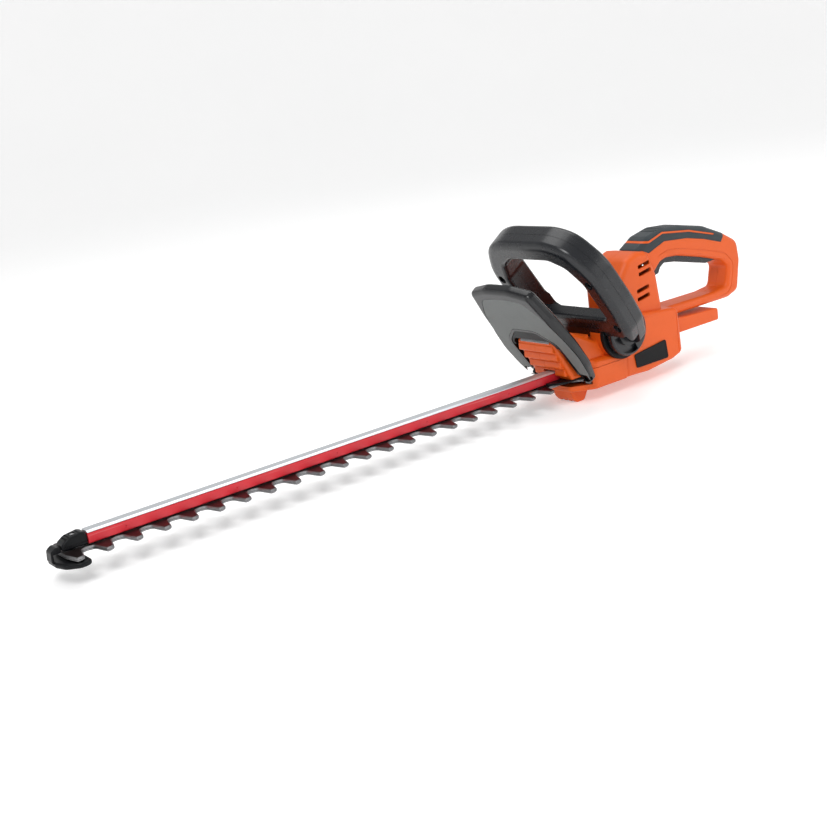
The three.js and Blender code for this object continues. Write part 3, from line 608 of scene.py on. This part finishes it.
BOLTS = (21, 130, 239, 348, 457)
TIP_SCREW_X = -24
RAIL_HALF, RAIL_BASE, RAIL_TOP, CAP_TOP = 7, 3.0, 12.3, 14.4


def loop_body(grow):
    """The rear handle: a rounded loop with a hand hole whose rims are rounded too."""
    edge = 6.4 + grow
    half = LOOP_HALF + grow
    outer = moulding(grown(LOOP_SIDE, grow), -half, half, edge, steps=7)
    return cut(outer, flared(grown(HAND_HOLE, -grow), -half, half, 4.6 + grow, steps=6))


def tower_body(grow):
    """The motor tower behind the front handle."""
    return moulding(grown(TOWER_SIDE, grow), -TOWER_HALF - grow, TOWER_HALF + grow, 8, steps=7)


def grip_blank(grow):
    """The part of the hand loop that the rubber covers."""
    return common(loop_body(0.2), moulding(grown(GRIP_REACH, grow), -24, 24))


def bar_room():
    """The room that the front handle's crossbar takes."""
    return block(-60, 60, BAR_LOW - 0.6, BAR_HIGH, RING_FRONT - 0.6, RING_SPLIT + 0.6, RING)


def drum(radius, y0, y1, x, z, sides=72):
    """A disc lying across the tool."""
    return moulding(circle(radius, sides), y0, y1, 0, at(x, 0, z, SIDE))


def screw_head(radius, height, place, socket=1.3):
    """A domed screw head with a hexagonal socket."""
    t = np.linspace(0, math.pi / 2, 7)
    dome = [(radius * (0.55 + 0.45 * math.sin(a)), height * (0.35 + 0.65 * math.cos(a))) for a in t]
    head = turned([(radius, 0), *reversed(dome)], place, 32)
    return cut(head, moulding(circle(socket, 6), height * 0.35, height + 1, 0, place))


def finishes():
    """Every finish of the tool, by name, made once from the chosen colours."""
    if FINISHES:
        return FINISHES
    colours = bpy.context.scene.trimmer_colours
    grain = bpy.context.scene.trimmer_sizes.grain
    look = {key: tuple(getattr(colours, key)) for key in TrimmerColours.__annotations__}
    FINISHES.update(
        housing=moulded("housing orange", look["housing"], 0.42, grain, tone=0.05),
        handle=moulded("handle grey", look["handle"], 0.27, grain, depth=0.01, shine=0.5),
        trim=moulded("black trim", look["trim"], 0.36, grain, shine=0.14),
        panel=moulded("shield grain", look["panel"], 0.55, grain * 1.6, depth=0.06, shine=0.3),
        rim=moulded("shield rim", tinted(look["handle"], 0.5), 0.2, grain, shine=0.5),
        rubber=rubber_finish("grip rubber", look["rubber"]),
        rail=powder_coat("red powder coat", look["rail"]),
        alloy=cap_finish("extruded alloy", look["alloy"]),
        plated=machined_metal("plated steel", look["steel"], 0.3, streak=0.08),
        blade=blade_finish("blade steel", look["oiled"], look["steel"]),
        bronze=machined_metal("bronze", shade(176, 122, 66), 0.4),
        winding=winding("copper winding"),
        magnet=moulded("ferrite", shade(52, 52, 55), 0.6, 0.8, depth=0.1),
        board=circuit("circuit board"),
    )
    return FINISHES


FINISHES = {}


# ---- blades, rail and tip guard ----------------------------------------------------------------
class TRIMMER_OT_blades(bpy.types.Operator):
    """Builds the two toothed blades, ground on the face that cuts"""
    bl_idname = "trimmer.blades"
    bl_label = "Blades"

    def outline(self, sizes):
        pitch, reach = sizes.tooth_pitch, sizes.tooth_reach
        first, count, half = -29.8, 21, 27
        tooth = [
            (-7.6, 10.5, 3.5), (-6.0, 18, 5), (-3.4, reach, 1.2), (0.8, reach - 0.2, 2.5),
            (4.0, reach - 2.2, 2.5), (6.2, 17, 6), (7.8, 10.5, 3.5), (pitch / 2, 9, 5)]
        side = [(first + i * pitch + dx, *rest) for i in range(count) for dx, *rest in tooth][:-1]
        side += [(536, 10.5), (552, half), (626.9, half)]
        return [(x, -y, *rest) for x, y, *rest in side] + side[::-1]

    def execute(self, context):
        sizes = context.scene.trimmer_sizes
        plate = rounded(self.outline(sizes), step=0.3)
        for name, place in (("upper", PLAN), ("lower", UNDER)):
            body = moulding(plate, BLADE_GAP, BLADE_GAP + BLADE_THICK, sizes.grind, place, 1.0, 0, steps=1)
            slots = [moulding(lozenge(x - 10, x + 10, 2.8, 2.7), -9, 9, 0, PLAN)
                     for x in (TIP_SCREW_X, *BOLTS)]
            yoke = moulding(lozenge(569.4, 622.6, 19.6, 6), -9, 9, 0, PLAN)
            piece(cut(body, heap(*slots, yoke)), f"{name}_cutting_blade", "blade", f"{name}_blade",
                  "blade_steel", f"{name}_blade", sharp=20)
        return {"FINISHED"}


class TRIMMER_OT_rail(bpy.types.Operator):
    """Builds the red rail, its bright cap, the shoulder bolts and the root plate"""
    bl_idname = "trimmer.rail"
    bl_label = "Blade rail"

    def execute(self, context):
        half, base, high = RAIL_HALF, RAIL_BASE, RAIL_TOP
        section = [(-half, base, 0.8), (half, base, 0.8), (half, high, 0.3), (-half, high, 0.3)]
        rail = moulding(section, RAIL_START, RAIL_END, 0.2, LONG, steps=2)
        dimples = [drum(0.9, side * half - 0.7, side * half + 0.7, x, 7.6, sides=20)
                   for x in (*BOLTS, 515) for side in (-1, 1)]
        pockets = [turned([(2.6, 0), (2.6, 9)], at(x, 0, 0), 24) for x in BOLTS]
        piece(cut(rail, heap(*dimples), heap(*pockets)), "red_rail", "rail", "housing", "rail_red",
              "guide_rail", soften=0.15)
        foot, shoulder = high + GAP, high + 0.9
        section = [(-half, foot, 0.2), (half, foot, 0.2), (half - 0.2, shoulder, 0.3), (4.9, CAP_TOP, 0.6),
                   (-4.9, CAP_TOP, 0.6), (0.2 - half, shoulder, 0.3)]
        piece(moulding(section, RAIL_START, RAIL_END - 3, 0.15, LONG, steps=1), "rail_bright_cap",
              "alloy", "housing", "cap_alloy", "rail_cap", sharp=25)
        head = [(4.6, -2.4), (4.6, -3.1), (4.2, -3.4), (3.6, -3.5), (3.4, -3.9), (2.9, -4.6), (2.2, -4.7)]
        for number, x in enumerate(BOLTS, 1):
            bolt = turned([(2.3, base + 5.5), (2.3, -2.4), *head], at(x, 0, 0), 32)
            bolt = cut(bolt, moulding(circle(1.5, 6), -6, -3.7, 0, at(x, 0, 0)))
            piece(bolt, f"shoulder_bolt_{number}", "plated", "housing", "bright_steel",
                  f"blade_bolt_{number}")
        fork = both_sides([(8, 534), (8, 506, 2), (20, 514, 4), (25, 524, 3), (25, 549)])
        plan = [(x, y, *radius) for y, x, *radius in fork]
        piece(moulding(plan, 2.8, 5.2, 0.5, PLAN, steps=3), "root_plate", "trim", "housing",
              "black_plastic", "blade_root_plate")
        return {"FINISHED"}


class TRIMMER_OT_tip_guard(bpy.types.Operator):
    """Builds the stepped black cap and the skid that guard the blade tips"""
    bl_idname = "trimmer.tip_guard"
    bl_label = "Tip guard"

    def execute(self, context):
        way_x, way_low, way_high = -44.9, -2.9, 3.1
        way = block(way_x, 0, -40, 40, way_low, way_high)
        screw_place = at(TIP_SCREW_X, 0, 0)
        shank = turned([(2.4, -20), (2.4, 30)], screw_place, 24)
        cap_side = [(-37, 3.2, 1), (-13.8, 3.2), (-13.8, 13.8, 1), (-18, 15.2, 3), (-30, 13.6, 8), (-37, 9, 5)]
        cap = moulding(cap_side, -7, 7, 1.8, steps=5)
        treads = [block(x, x + 1.0, -5.5, 5.5, z, 20)
                  for x, z in ((-20.5, 14.4), (-23.5, 14.1), (-26.5, 13.6), (-29.5, 12.9), (-32.3, 11.6))]
        waist = [block(-40, -15.4, side * 7 - 0.4, side * 7 + 0.4, 6.0, 6.7) for side in (-1, 1)]
        piece(cut(cap, heap(*treads), heap(*waist), copied(shank)), "tip_cap", "trim", "housing",
              "black_plastic", "tip_guard_cap", soften=0.3)
        nose_side = [
            (way_x, way_low), (way_x, 3.2), (-37.6, 3.2), (-37.6, 8, 1), (-42, 9, 3), (-46.5, 6, 4),
            (-47.5, -3, 3), (-44, -7, 3), (-30, -8), (-30, way_low)]
        wing = [(x, y, r) for y, x, r in both_sides([(26, -20, 5), (29, -30, 10), (20, -42, 12), (8, -46, 6)])]
        skid = join(moulding(nose_side, -6, 6, 0.9, steps=4), moulding(wing, -8, way_low, 2.2, PLAN, steps=6))
        hollows = [block(-41, -34, y - 2.2, y + 2.2, -9, -6.5) for y in (-14, 14)]
        head_room = turned([(4, -20), (4, -5.6)], screw_place, 24)
        piece(cut(skid, shank, head_room, way, heap(*hollows)), "tip_skid", "trim", "housing",
              "black_plastic", "tip_guard_skid", soften=0.25)
        screw = join(turned([(2, -6.2), (2, 14)], screw_place, 24),
                     screw_head(3.7, 1.9, at(TIP_SCREW_X, 0, -5.9, UNDER)))
        piece(screw, "tip_fixing", "plated", "housing", "bright_steel", "tip_screw")
        return {"FINISHED"}


# ---- housing ------------------------------------------------------------------------------------
class TRIMMER_OT_gear_case(bpy.types.Operator):
    """Builds the gear case base with its moulded foot"""
    bl_idname = "trimmer.gear_case"
    bl_label = "Gear case"

    def execute(self, context):
        half = DECK_HALF
        deck = [(603, -half), (603, half), (556, half, 10), (531, 21, 8), (531, -21, 8), (556, -half, 10)]
        tray = cut(moulding(deck, -10.5, 20, 4, PLAN, steps=7), block(500, 620, -60, 60, 13, 30))
        foot = [
            (536, -5), (535, -9, 3), (540.5, -20, 6), (545, -FOOT_DROP, 4), (556, -FOOT_DROP, 5),
            (562.5, -14, 9), (582, -9.6), (582, -5)]
        tray = join(tray, moulding(foot, -15, 15, 1.6, steps=4))
        tray = cut(
            tray,
            block(500, 552, -60, 60, -3.6, 30),
            block(551, 620, 3.2 - half, half - 3.2, -6.4, 30),
            turned([(6.6, -8.9), (6.6, 0)], at(596, 0, 0)),
            heap(*[block(543.5, 550.5, y - 2.6, y + 2.6, -26, -14) for y in (-7.5, 0, 7.5)]),
        )
        piece(tray, "gear_case_tray", "housing", "housing", "housing_orange", "gear_case_base",
              soften=0.35)
        return {"FINISHED"}


class TRIMMER_OT_housing(bpy.types.Operator):
    """Builds the two hollow housing shells with their vents, seams, hub bosses and screw holes"""
    bl_idname = "trimmer.housing"
    bl_label = "Housing"

    def nose(self):
        """The front body, with four broad stairs down its leaning front face."""
        body = moulding(NOSE_SIDE, -NOSE_HALF, NOSE_HALF, 4, steps=7)
        count, going, rise, tread = 4, 5.6, 10, 8.8
        stairs = []
        for k in range(count):
            x, z, half = 506 + going * k, 39.6 - rise * k, 26.5 - k
            side = [(x, z, 1.5), (x, z + tread, 1.5), (560, z + tread), (560, z)]
            stairs.append(moulding(side, -half, half, 1.2, steps=3))
        return join(body, heap(*stairs))

    def cavity(self):
        """The room inside the shells."""
        def hollow(corners, half):
            return moulding(grown(corners, -WALL), WALL - half, half - WALL)

        inner_loop = cut(moulding(grown(LOOP_SIDE, -WALL - 0.6), WALL - LOOP_HALF, LOOP_HALF - WALL),
                         moulding(grown(HAND_HOLE, WALL), -40, 40))
        return join(
            hollow(NOSE_SIDE, NOSE_HALF), hollow(LOWER_SIDE, LOWER_HALF), hollow(TOWER_SIDE, TOWER_HALF),
            inner_loop, block(600, 622, -31.8, 31.8, -6.4, 12.6), block(557, 622, -31, 31, 12.6, 18.6))

    def outside(self):
        """The shells' outer form: nose, lower body, tower, hand loop, skirt and hub bosses, with grooves."""
        skirt_plan = [
            (612, -36.5), (612, 36.5), (558, 36.5, 10), (545, 28, 10), (545, -28, 10), (558, -36.5, 10)]
        skirt = cut(moulding(skirt_plan, 6, 21.5, 6, PLAN, steps=7), block(500, 650, -60, 60, -10, 13.3))
        bosses = [cut(drum(HUB_RADIUS + 3, side * 27.5 - 7.5, side * 27.5 + 7.5, HUB_X, HUB_Z),
                      block(500, 700, -60, 60, SADDLE_TOP, 100)) for side in (-1, 1)]
        lower = moulding(LOWER_SIDE, -LOWER_HALF, LOWER_HALF, 5, steps=7)
        body = join(self.nose(), lower, tower_body(0), loop_body(0), skirt, *bosses)
        return cut(body, *self.grooves())

    def grooves(self):
        """Thin grooves: a crease above the lower body, a post behind it and a line round the hand loop."""
        walls = [(side * LOWER_HALF - 0.5, side * LOWER_HALF + 0.5) for side in (-1, 1)]
        level, depth = 49.2, 0.45
        crease = [block(618, 697, *wall, level, level + 0.7) for wall in walls]
        post = [block(688.6, 689.4, *wall, -5, level) for wall in walls]
        line = cut(moulding(grown(HAND_HOLE, 8.6), -LOOP_HALF - 1, LOOP_HALF + 1),
                   moulding(grown(HAND_HOLE, 8.0), -LOOP_HALF - 2, LOOP_HALF + 2))
        line = cut(line, block(500, 900, depth - LOOP_HALF, LOOP_HALF - depth, -50, 200),
                   block(500, 688, -60, 60, 0, 200))
        return [heap(*crease), heap(*post), line]

    def rooms(self):
        """What is cut from the housing for its neighbours: grip, trigger, handle, rail, vents and screws."""
        grip_room = cut(grip_blank(GAP), loop_body(-GRIP_SKIN - GAP), moulding(STRIPE, -40, 40))
        collar_rooms = [drum(COLLAR_RADIUS + GAP, side * 40 - 5, side * 40 + 5, HUB_X, HUB_Z)
                        for side in (-1, 1)]
        snug, reveal = RAIL_HALF + GAP, RAIL_HALF + 1.6
        rail_room = join(block(RAIL_END - 40, RAIL_END + GAP, -snug, snug, 0, CAP_TOP + GAP),
                         block(RAIL_END - 40, RAIL_END - 1.5, -reveal, reveal, 0, CAP_TOP + 1.5))
        pin_room = drum(2.3, -14.8, 14.8, TRIGGER_PIN_X, TRIGGER_PIN_Z, sides=24)
        slope = Matrix.Rotation(-0.17, 4, "Y") @ SIDE
        vents = [moulding(lozenge(-10, 10, 2.3, 1.6), -60, 60, 0, at(x, 0, z, slope)) for x, z in VENTS]
        screws = [drum(2.2, half - 6, half + 6, x, z, sides=24) for x, z, half in HOUSING_SCREWS]
        return [grip_room, moulding(TRIGGER_ROOM, -9.5, 9.5), pin_room, bar_room(), *collar_rooms, rail_room,
                heap(*vents), heap(*screws)]

    def execute(self, context):
        whole = cut(self.outside(), self.cavity(), *self.rooms())
        seam = 0.12
        for name, y0, y1 in (("left", -seam, 100), ("right", -100, seam)):
            shell = cut(copied(whole), block(400, 900, y0, y1, -50, 200))
            piece(shell, f"{name}_shell", "housing", "housing", "housing_orange",
                  f"{name}_housing", soften=0.3)
        bpy.data.meshes.remove(whole.data)
        return {"FINISHED"}


class TRIMMER_OT_grip(bpy.types.Operator):
    """Builds the ribbed rubber over the rear handle, with the slot that the orange stripe fills"""
    bl_idname = "trimmer.grip"
    bl_label = "Rubber grip"

    def execute(self, context):
        skin = cut(grip_blank(0), loop_body(-GRIP_SKIN), tower_body(GAP),
                   moulding(grown(STRIPE, 0.25), -40, 40))
        pitch = context.scene.trimmer_sizes.rib_pitch
        grooves = [block(x, x + pitch * 0.35, -11, 11, 90, 200) for x in np.arange(690, 790, pitch)]
        groove_depth = 0.35
        skin = cut(skin, cut(heap(*grooves), loop_body(-groove_depth)))
        piece(skin, "ribbed_grip", "rubber", "housing", "grip_rubber", "rubber_grip", sharp=40)
        return {"FINISHED"}


class TRIMMER_OT_trigger(bpy.types.Operator):
    """Builds the long trigger paddle on its own body, with a bore for its pin"""
    bl_idname = "trimmer.trigger"
    bl_label = "Trigger"

    def execute(self, context):
        paddle = cut(moulding(TRIGGER_SIDE, -9, 9, 1.2, steps=5),
                     drum(2.16, -20, 20, TRIGGER_PIN_X, TRIGGER_PIN_Z, sides=24))
        piece(paddle, "trigger_paddle", "handle", "trigger", "handle_plastic", "trigger")
        return {"FINISHED"}


class TRIMMER_OT_battery_slide(bpy.types.Operator):
    """Builds the battery slide with its channel for the pack"""
    bl_idname = "trimmer.battery_slide"
    bl_label = "Battery slide"

    def execute(self, context):
        side = [(696.4, 14.5), (777, 14.5, 2), (777, 28.5, 3), (696.4, 32)]
        slide = cut(
            moulding(side, -20, 20, 1.2, steps=5),
            block(702, 790, -12.5, 12.5, 0, 25),
            block(702, 790, -16.5, 16.5, 18.5, 23),
            heap(*[block(773.5, 780, y - 1.6, y + 1.6, 10, 17) for y in (-14.6, 14.6)]),
        )
        piece(slide, "battery_rails", "housing", "housing", "housing_orange", "battery_slide",
              soften=0.3)
        return {"FINISHED"}


class TRIMMER_OT_labels(bpy.types.Operator):
    """Builds the two blank label plates"""
    bl_idname = "trimmer.labels"
    bl_label = "Label plates"

    def execute(self, context):
        side = [(616.5, 12.5, 2.5), (619, -3, 2.5), (670, -3.2, 2.5), (667.5, 18.3, 2.5)]
        back, face = LOWER_HALF + GAP, LOWER_HALF + 1.3
        for name, sense in (("left", -1), ("right", 1)):
            plate = moulding(side, *sorted((sense * back, sense * face)), 0.45, steps=4)
            plate = cut(plate, moulding(grown(side, -1.6), sense * face - 0.2, sense * face + 0.2))
            piece(plate, f"{name}_blank_plate", "trim", "housing", "handle_plastic",
                  f"label_plate_{name}")
        return {"FINISHED"}


class TRIMMER_OT_fasteners(bpy.types.Operator):
    """Builds the housing and handle screws with their socketed heads"""
    bl_idname = "trimmer.fasteners"
    bl_label = "Screws"

    def execute(self, context):
        for number, (x, z, half) in enumerate(HOUSING_SCREWS, 1):
            screw = join(drum(1.8, half - 14, half + 0.8, x, z, sides=24),
                         screw_head(3.6, 1.8, at(x, half + GAP, z, SIDE)))
            piece(screw, f"shell_screw_{number}", "plated", "housing", "bright_steel",
                  f"housing_screw_{number}")
        for number, (x, y) in enumerate(HANDLE_SCREWS, 1):
            place = RING @ at(x, y, 0)
            screw = join(turned([(1.8, RING_FRONT + 5.8), (1.8, 14)], place, 24),
                         screw_head(3.4, 3.2, place @ at(0, 0, RING_FRONT + 6.2, UNDER)))
            piece(screw, f"grip_screw_{number}", "plated", "housing", "bright_steel",
                  f"handle_screw_{number}")
        return {"FINISHED"}


# ---- front handle and hand shield ----------------------------------------------------------------
RING_OUTER = both_sides([
    (63, -60, 12), (77, -28, 20), (80, 4, 60), (80, 56, 60), (60, 90, 36), (36, 100, 60)])
RING_HALF_INNER = [(57, 44, 16), (47, 66, 14), (30, 76, 20)]
RING_INNER = both_sides([(57, BAR_HIGH, 6), *RING_HALF_INNER])


class TRIMMER_OT_front_handle(bpy.types.Operator):
    """Builds the two shells of the looped front handle, its hubs and its collars"""
    bl_idname = "trimmer.front_handle"
    bl_label = "Front handle"

    def ring(self):
        """A flat loop with a wide rounded front shoulder, and rims rounded round its hole."""
        body = moulding(RING_OUTER, RING_FRONT, RING_REAR, 9, RING, depth=7, steps=8)
        return cut(body, flared(RING_INNER, RING_FRONT, RING_REAR, 5, RING, depth=5, steps=7))

    def hub(self, side, radius, low, high, edge=0.0):
        """A disc round the pivot, flat on top where the handle leans over the housing."""
        ends = sorted((side * low, side * high))
        disc = moulding(circle(radius, 96), *ends, edge, at(HUB_X, 0, HUB_Z, SIDE), steps=4)
        return cut(disc, block(500, 700, -90, 90, SADDLE_TOP, 150))

    def hub_pockets(self):
        """A crescent pocket low on the front of each hub, and three scallops on its rear rim."""
        sweep = np.radians(np.linspace(190, 296, 28))
        spokes = np.stack([np.cos(sweep), np.sin(sweep)], -1)
        crescent = np.concatenate([24.2 * spokes, 15.5 * spokes[::-1]])
        rim, floor = 28, HUB_OUTER - 4.5
        pockets = []
        for side in (-1, 1):
            low, high = sorted((side * floor, side * 55))
            pockets.append(moulding(crescent, low, high, 0, at(HUB_X, 0, HUB_Z, SIDE)))
            low, high = sorted((side * (floor - 5), side * 55))
            pockets += [drum(2.6, low, high, HUB_X + rim * math.cos(turn), HUB_Z + rim * math.sin(turn), 20)
                        for turn in (-0.75, -0.4, -0.05)]
        return heap(*pockets)

    def wells(self):
        """Oval recesses for the handle screws, with a bore for each shank."""
        oval = circle(4.4, 40) * np.array([1.0, 1.25])
        return [join(moulding(oval, RING_FRONT - 5, RING_FRONT + 7, 0, RING @ at(x, y, 0)),
                     turned([(2.2, RING_FRONT), (2.2, 15)], RING @ at(x, y, 0), 24))
                for x, y in HANDLE_SCREWS]

    def execute(self, context):
        legs = both_sides([(HUB_INNER, -90), (HUB_INNER, BAR_LOW, 8)])
        arch = both_sides([(HUB_INNER, -90), (HUB_INNER, -40, 6), (57, -24, 8), *RING_HALF_INNER])
        wells = self.wells()
        sides = (-1, 1)
        front = cut(
            self.ring(),
            moulding(legs, -60, 60, 0, RING),
            block(-100, 100, -100, 150, RING_SPLIT, 60, RING),
            *[self.hub(side, HUB_RADIUS + GAP, 30, 70) for side in sides],
            block(-38, 38, -23.2, -22.4, -20, RING_FRONT + 0.6, RING),
            *[copied(well) for well in wells],
        )
        piece(front, "handle_front_shell", "handle", "housing", "handle_plastic", "front_handle_front",
              soften=0.5)
        rear = cut(self.ring(), moulding(arch, -60, 60, 0, RING),
                   block(-100, 100, -100, 150, -60, RING_SPLIT + GAP, RING))
        hubs = heap(*[self.hub(side, HUB_RADIUS, HUB_INNER, HUB_OUTER, 2.4) for side in sides])
        rear = cut(join(rear, cut(hubs, self.hub_pockets())), *wells)
        piece(rear, "handle_rear_shell", "handle", "housing", "handle_plastic", "front_handle_rear",
              soften=0.5)
        for name, side in (("left", -1), ("right", 1)):
            collar = cut(self.hub(side, COLLAR_RADIUS, LOWER_HALF + GAP, HUB_INNER - GAP, 0.8), bar_room())
            piece(collar, f"{name}_collar", "trim", "housing", "black_plastic", f"handle_collar_{name}")
        return {"FINISHED"}


class TRIMMER_OT_hand_shield(bpy.types.Operator):
    """Builds the leaning hand shield: glossy rim, grained panel and the arch over the nose"""
    bl_idname = "trimmer.hand_shield"
    bl_label = "Hand shield"

    def execute(self, context):
        outline = both_sides([
            (45, -3, 4), (55, 24, 30), (57, 56, 40), (53, 96, 30), (46, 131, 8), (18, 138, 30)])
        panel = both_sides([
            (47, -1, 5), (53.5, 18, 20), (57, 42, 40), (54, 65, 40), (45.5, 99, 30), (31.7, 122.4, 14),
            (12, 125.7, 20)])
        arch = both_sides([(35, -30), (36, 58, 16), (16, 76, 12)])
        band = both_sides([(31, -30), (31, 57, 6), (26, 62.5, 6)])

        def through(corners, low=-20, high=20):
            return moulding(corners, low, high, 0, SHIELD)

        def sockets(margin):
            half = 7.5 + margin
            return heap(*[block(x - half, x + half, 1.5 - margin, 12.5 + margin, -4, 2.2, SHIELD)
                          for x in (-41, 41)])

        body = moulding(outline, -3, 10, 6, SHIELD, depth=4.5, steps=8)
        room = cut(through(grown(panel, 0.3), -9, -2.3), through(grown(arch, 3)))
        body = cut(body, through(arch, -20, 3), through(band, -20, 40), room, sockets(0))
        piece(body, "shield_body", "rim", "housing", "shield_plastic", "hand_shield", soften=0.6)
        face = moulding(panel, -2.9, -2.35, 0.3, SHIELD, low_edge=0.3, steps=3)
        face = cut(face, through(grown(arch, 3.4)), sockets(0.6))
        piece(face, "shield_face", "panel", "housing", "shield_plastic", "hand_shield")
        liner = cut(through(grown(arch, -0.3), -2.4, 2.7), through(grown(band, 0.4)),
                    block(-60, 60, -60, -1.5, -20, 20, SHIELD), block(-60, 60, -40, 52, -4, 0.8, SHIELD))
        piece(liner, "shield_arch", "trim", "housing", "shield_plastic", "hand_shield", soften=0.3)
        return {"FINISHED"}


# ---- carried-over nodes and the stage ---------------------------------------------------------------
class TRIMMER_OT_inside(bpy.types.Operator):
    """Gives the pieces inside the housing their finishes"""
    bl_idname = "trimmer.inside"
    bl_label = "Inside pieces"

    def execute(self, context):
        look = finishes()
        by_slot = {
            "bright_steel": "plated", "bronze": "bronze", "copper_winding": "winding", "magnet_grey": "magnet",
            "board_green": "board", "black_plastic": "trim", "cap_alloy": "alloy"}
        for row in frame["record"]["subparts"]:
            node = frame["nodes"][row["node"]]
            if node.hide_render:
                continue
            if row["material_slot"] not in by_slot:
                raise RuntimeError(f"no finish for {row['node']}")
            node.data.materials.clear()
            node.data.materials.append(look[by_slot[row["material_slot"]]])
        return {"FINISHED"}


class TRIMMER_OT_stage(bpy.types.Operator):
    """Adds the pale floor, the soft lights and the camera"""
    bl_idname = "trimmer.stage"
    bl_label = "Stage"

    def floor(self):
        """A bowl of revolution: flat out to a radius, then a quarter circle up to its wall."""
        flat, rise = 3.2, 2.2
        t = np.linspace(0, math.pi / 2, 24)
        radii = np.concatenate([[0.001, 1.0, 2.0], flat + rise * np.sin(t)])
        heights = np.concatenate([np.zeros(3), rise * (1 - np.cos(t))])
        angles = np.linspace(0, 2 * math.pi, 96, endpoint=False)
        points = np.stack([radii[:, None] * np.cos(angles), radii[:, None] * np.sin(angles),
                           np.broadcast_to(heights[:, None], (len(radii), 96))], -1).reshape(-1, 3)
        mesh = bpy.data.meshes.new("studio_floor")
        mesh.from_pydata(points.tolist(), [], ring_faces(len(radii), 96)[:-1])
        mesh.polygons.foreach_set("use_smooth", np.ones(len(mesh.polygons), bool))
        finish = Finish("studio white")
        cloud = finish.noise(1.5, 3)
        mesh.materials.append(finish.done(
            base_color=finish.mix(cloud, (0.86, 0.86, 0.86, 1), (0.9, 0.9, 0.9, 1)),
            roughness=0.7 + cloud * 0.1,
            emission_color=(1, 1, 1, 1),
            emission_strength=0.3,
        ))
        made = bpy.data.objects.new("studio_floor", mesh)
        bpy.context.scene.collection.objects.link(made)

    def light(self, name, place, aim, size, watts):
        data = bpy.data.lights.new(name, "AREA")
        data.shape, data.size, data.energy = "DISK", size, watts
        lamp = bpy.data.objects.new(name, data)
        lamp.location = place
        lamp.rotation_euler = (Vector(aim) - Vector(place)).to_track_quat("-Z", "Y").to_euler()
        bpy.context.scene.collection.objects.link(lamp)

    def camera(self):
        """A long lens in front of the blade tip, to the left and above, rolled a little."""
        right = Vector((0.78966, -0.598132, -0.136653))
        down = Vector((-0.266756, -0.13413, -0.954385))
        ahead = right.cross(down)
        data = bpy.data.cameras.new("camera")
        data.lens, data.sensor_width, data.clip_start = 54.4, 36, 0.05
        made = bpy.data.objects.new("camera", data)
        turn = Matrix((right, -down, -ahead)).transposed()
        made.matrix_world = Matrix.Translation((-0.8963, -0.9815, 0.3730)) @ turn.to_4x4()
        bpy.context.scene.collection.objects.link(made)
        bpy.context.scene.camera = made

    def execute(self, context):
        self.floor()
        self.camera()
        aim = (0.05, 0, 0.1)
        self.light("key", (-1.3, -1.2, 1.9), aim, 1.1, 27)
        self.light("top", (0.3, 0.4, 2.2), aim, 1.8, 20)
        self.light("side", (1.6, -1.8, 0.9), aim, 1.2, 7)
        world = bpy.data.worlds.new("studio")
        world.use_nodes = True
        world.node_tree.nodes["Background"].inputs["Color"].default_value = (1, 1, 1, 1)
        world.node_tree.nodes["Background"].inputs["Strength"].default_value = 0.5
        context.scene.world = world
        context.scene.view_settings.view_transform = "Standard"
        return {"FINISHED"}


BUILD = [
    TRIMMER_OT_blades, TRIMMER_OT_rail, TRIMMER_OT_tip_guard, TRIMMER_OT_gear_case, TRIMMER_OT_housing,
    TRIMMER_OT_grip, TRIMMER_OT_trigger, TRIMMER_OT_battery_slide, TRIMMER_OT_labels, TRIMMER_OT_fasteners,
    TRIMMER_OT_front_handle, TRIMMER_OT_hand_shield, TRIMMER_OT_inside, TRIMMER_OT_stage]


class TRIMMER_PT_panel(bpy.types.Panel):
    """Lists the tool's pieces, sizes and colours"""
    bl_idname = "TRIMMER_PT_panel"
    bl_label = "Hedge trimmer"
    bl_space_type = "VIEW_3D"
    bl_region_type = "UI"
    bl_category = "Trimmer"

    def draw(self, context):
        for group in (context.scene.trimmer_sizes, context.scene.trimmer_colours):
            for key in group.bl_rna.properties.keys():
                if key not in ("rna_type", "name"):
                    self.layout.prop(group, key)
        for operator in BUILD:
            self.layout.operator(operator.bl_idname)


CLASSES = [TrimmerColours, TrimmerSizes, *BUILD, TRIMMER_PT_panel]


def register():
    for kind in CLASSES:
        bpy.utils.register_class(kind)
    bpy.types.Scene.trimmer_colours = bpy.props.PointerProperty(type=TrimmerColours)
    bpy.types.Scene.trimmer_sizes = bpy.props.PointerProperty(type=TrimmerSizes)


def unregister():
    del bpy.types.Scene.trimmer_colours, bpy.types.Scene.trimmer_sizes
    for kind in reversed(CLASSES):
        bpy.utils.unregister_class(kind)


def main():
    register()
    for operator in BUILD:
        family, name = operator.bl_idname.split(".")
        getattr(getattr(bpy.ops, family), name)()
    bpy.context.view_layer.update()


if __name__ == "__main__":
    main()
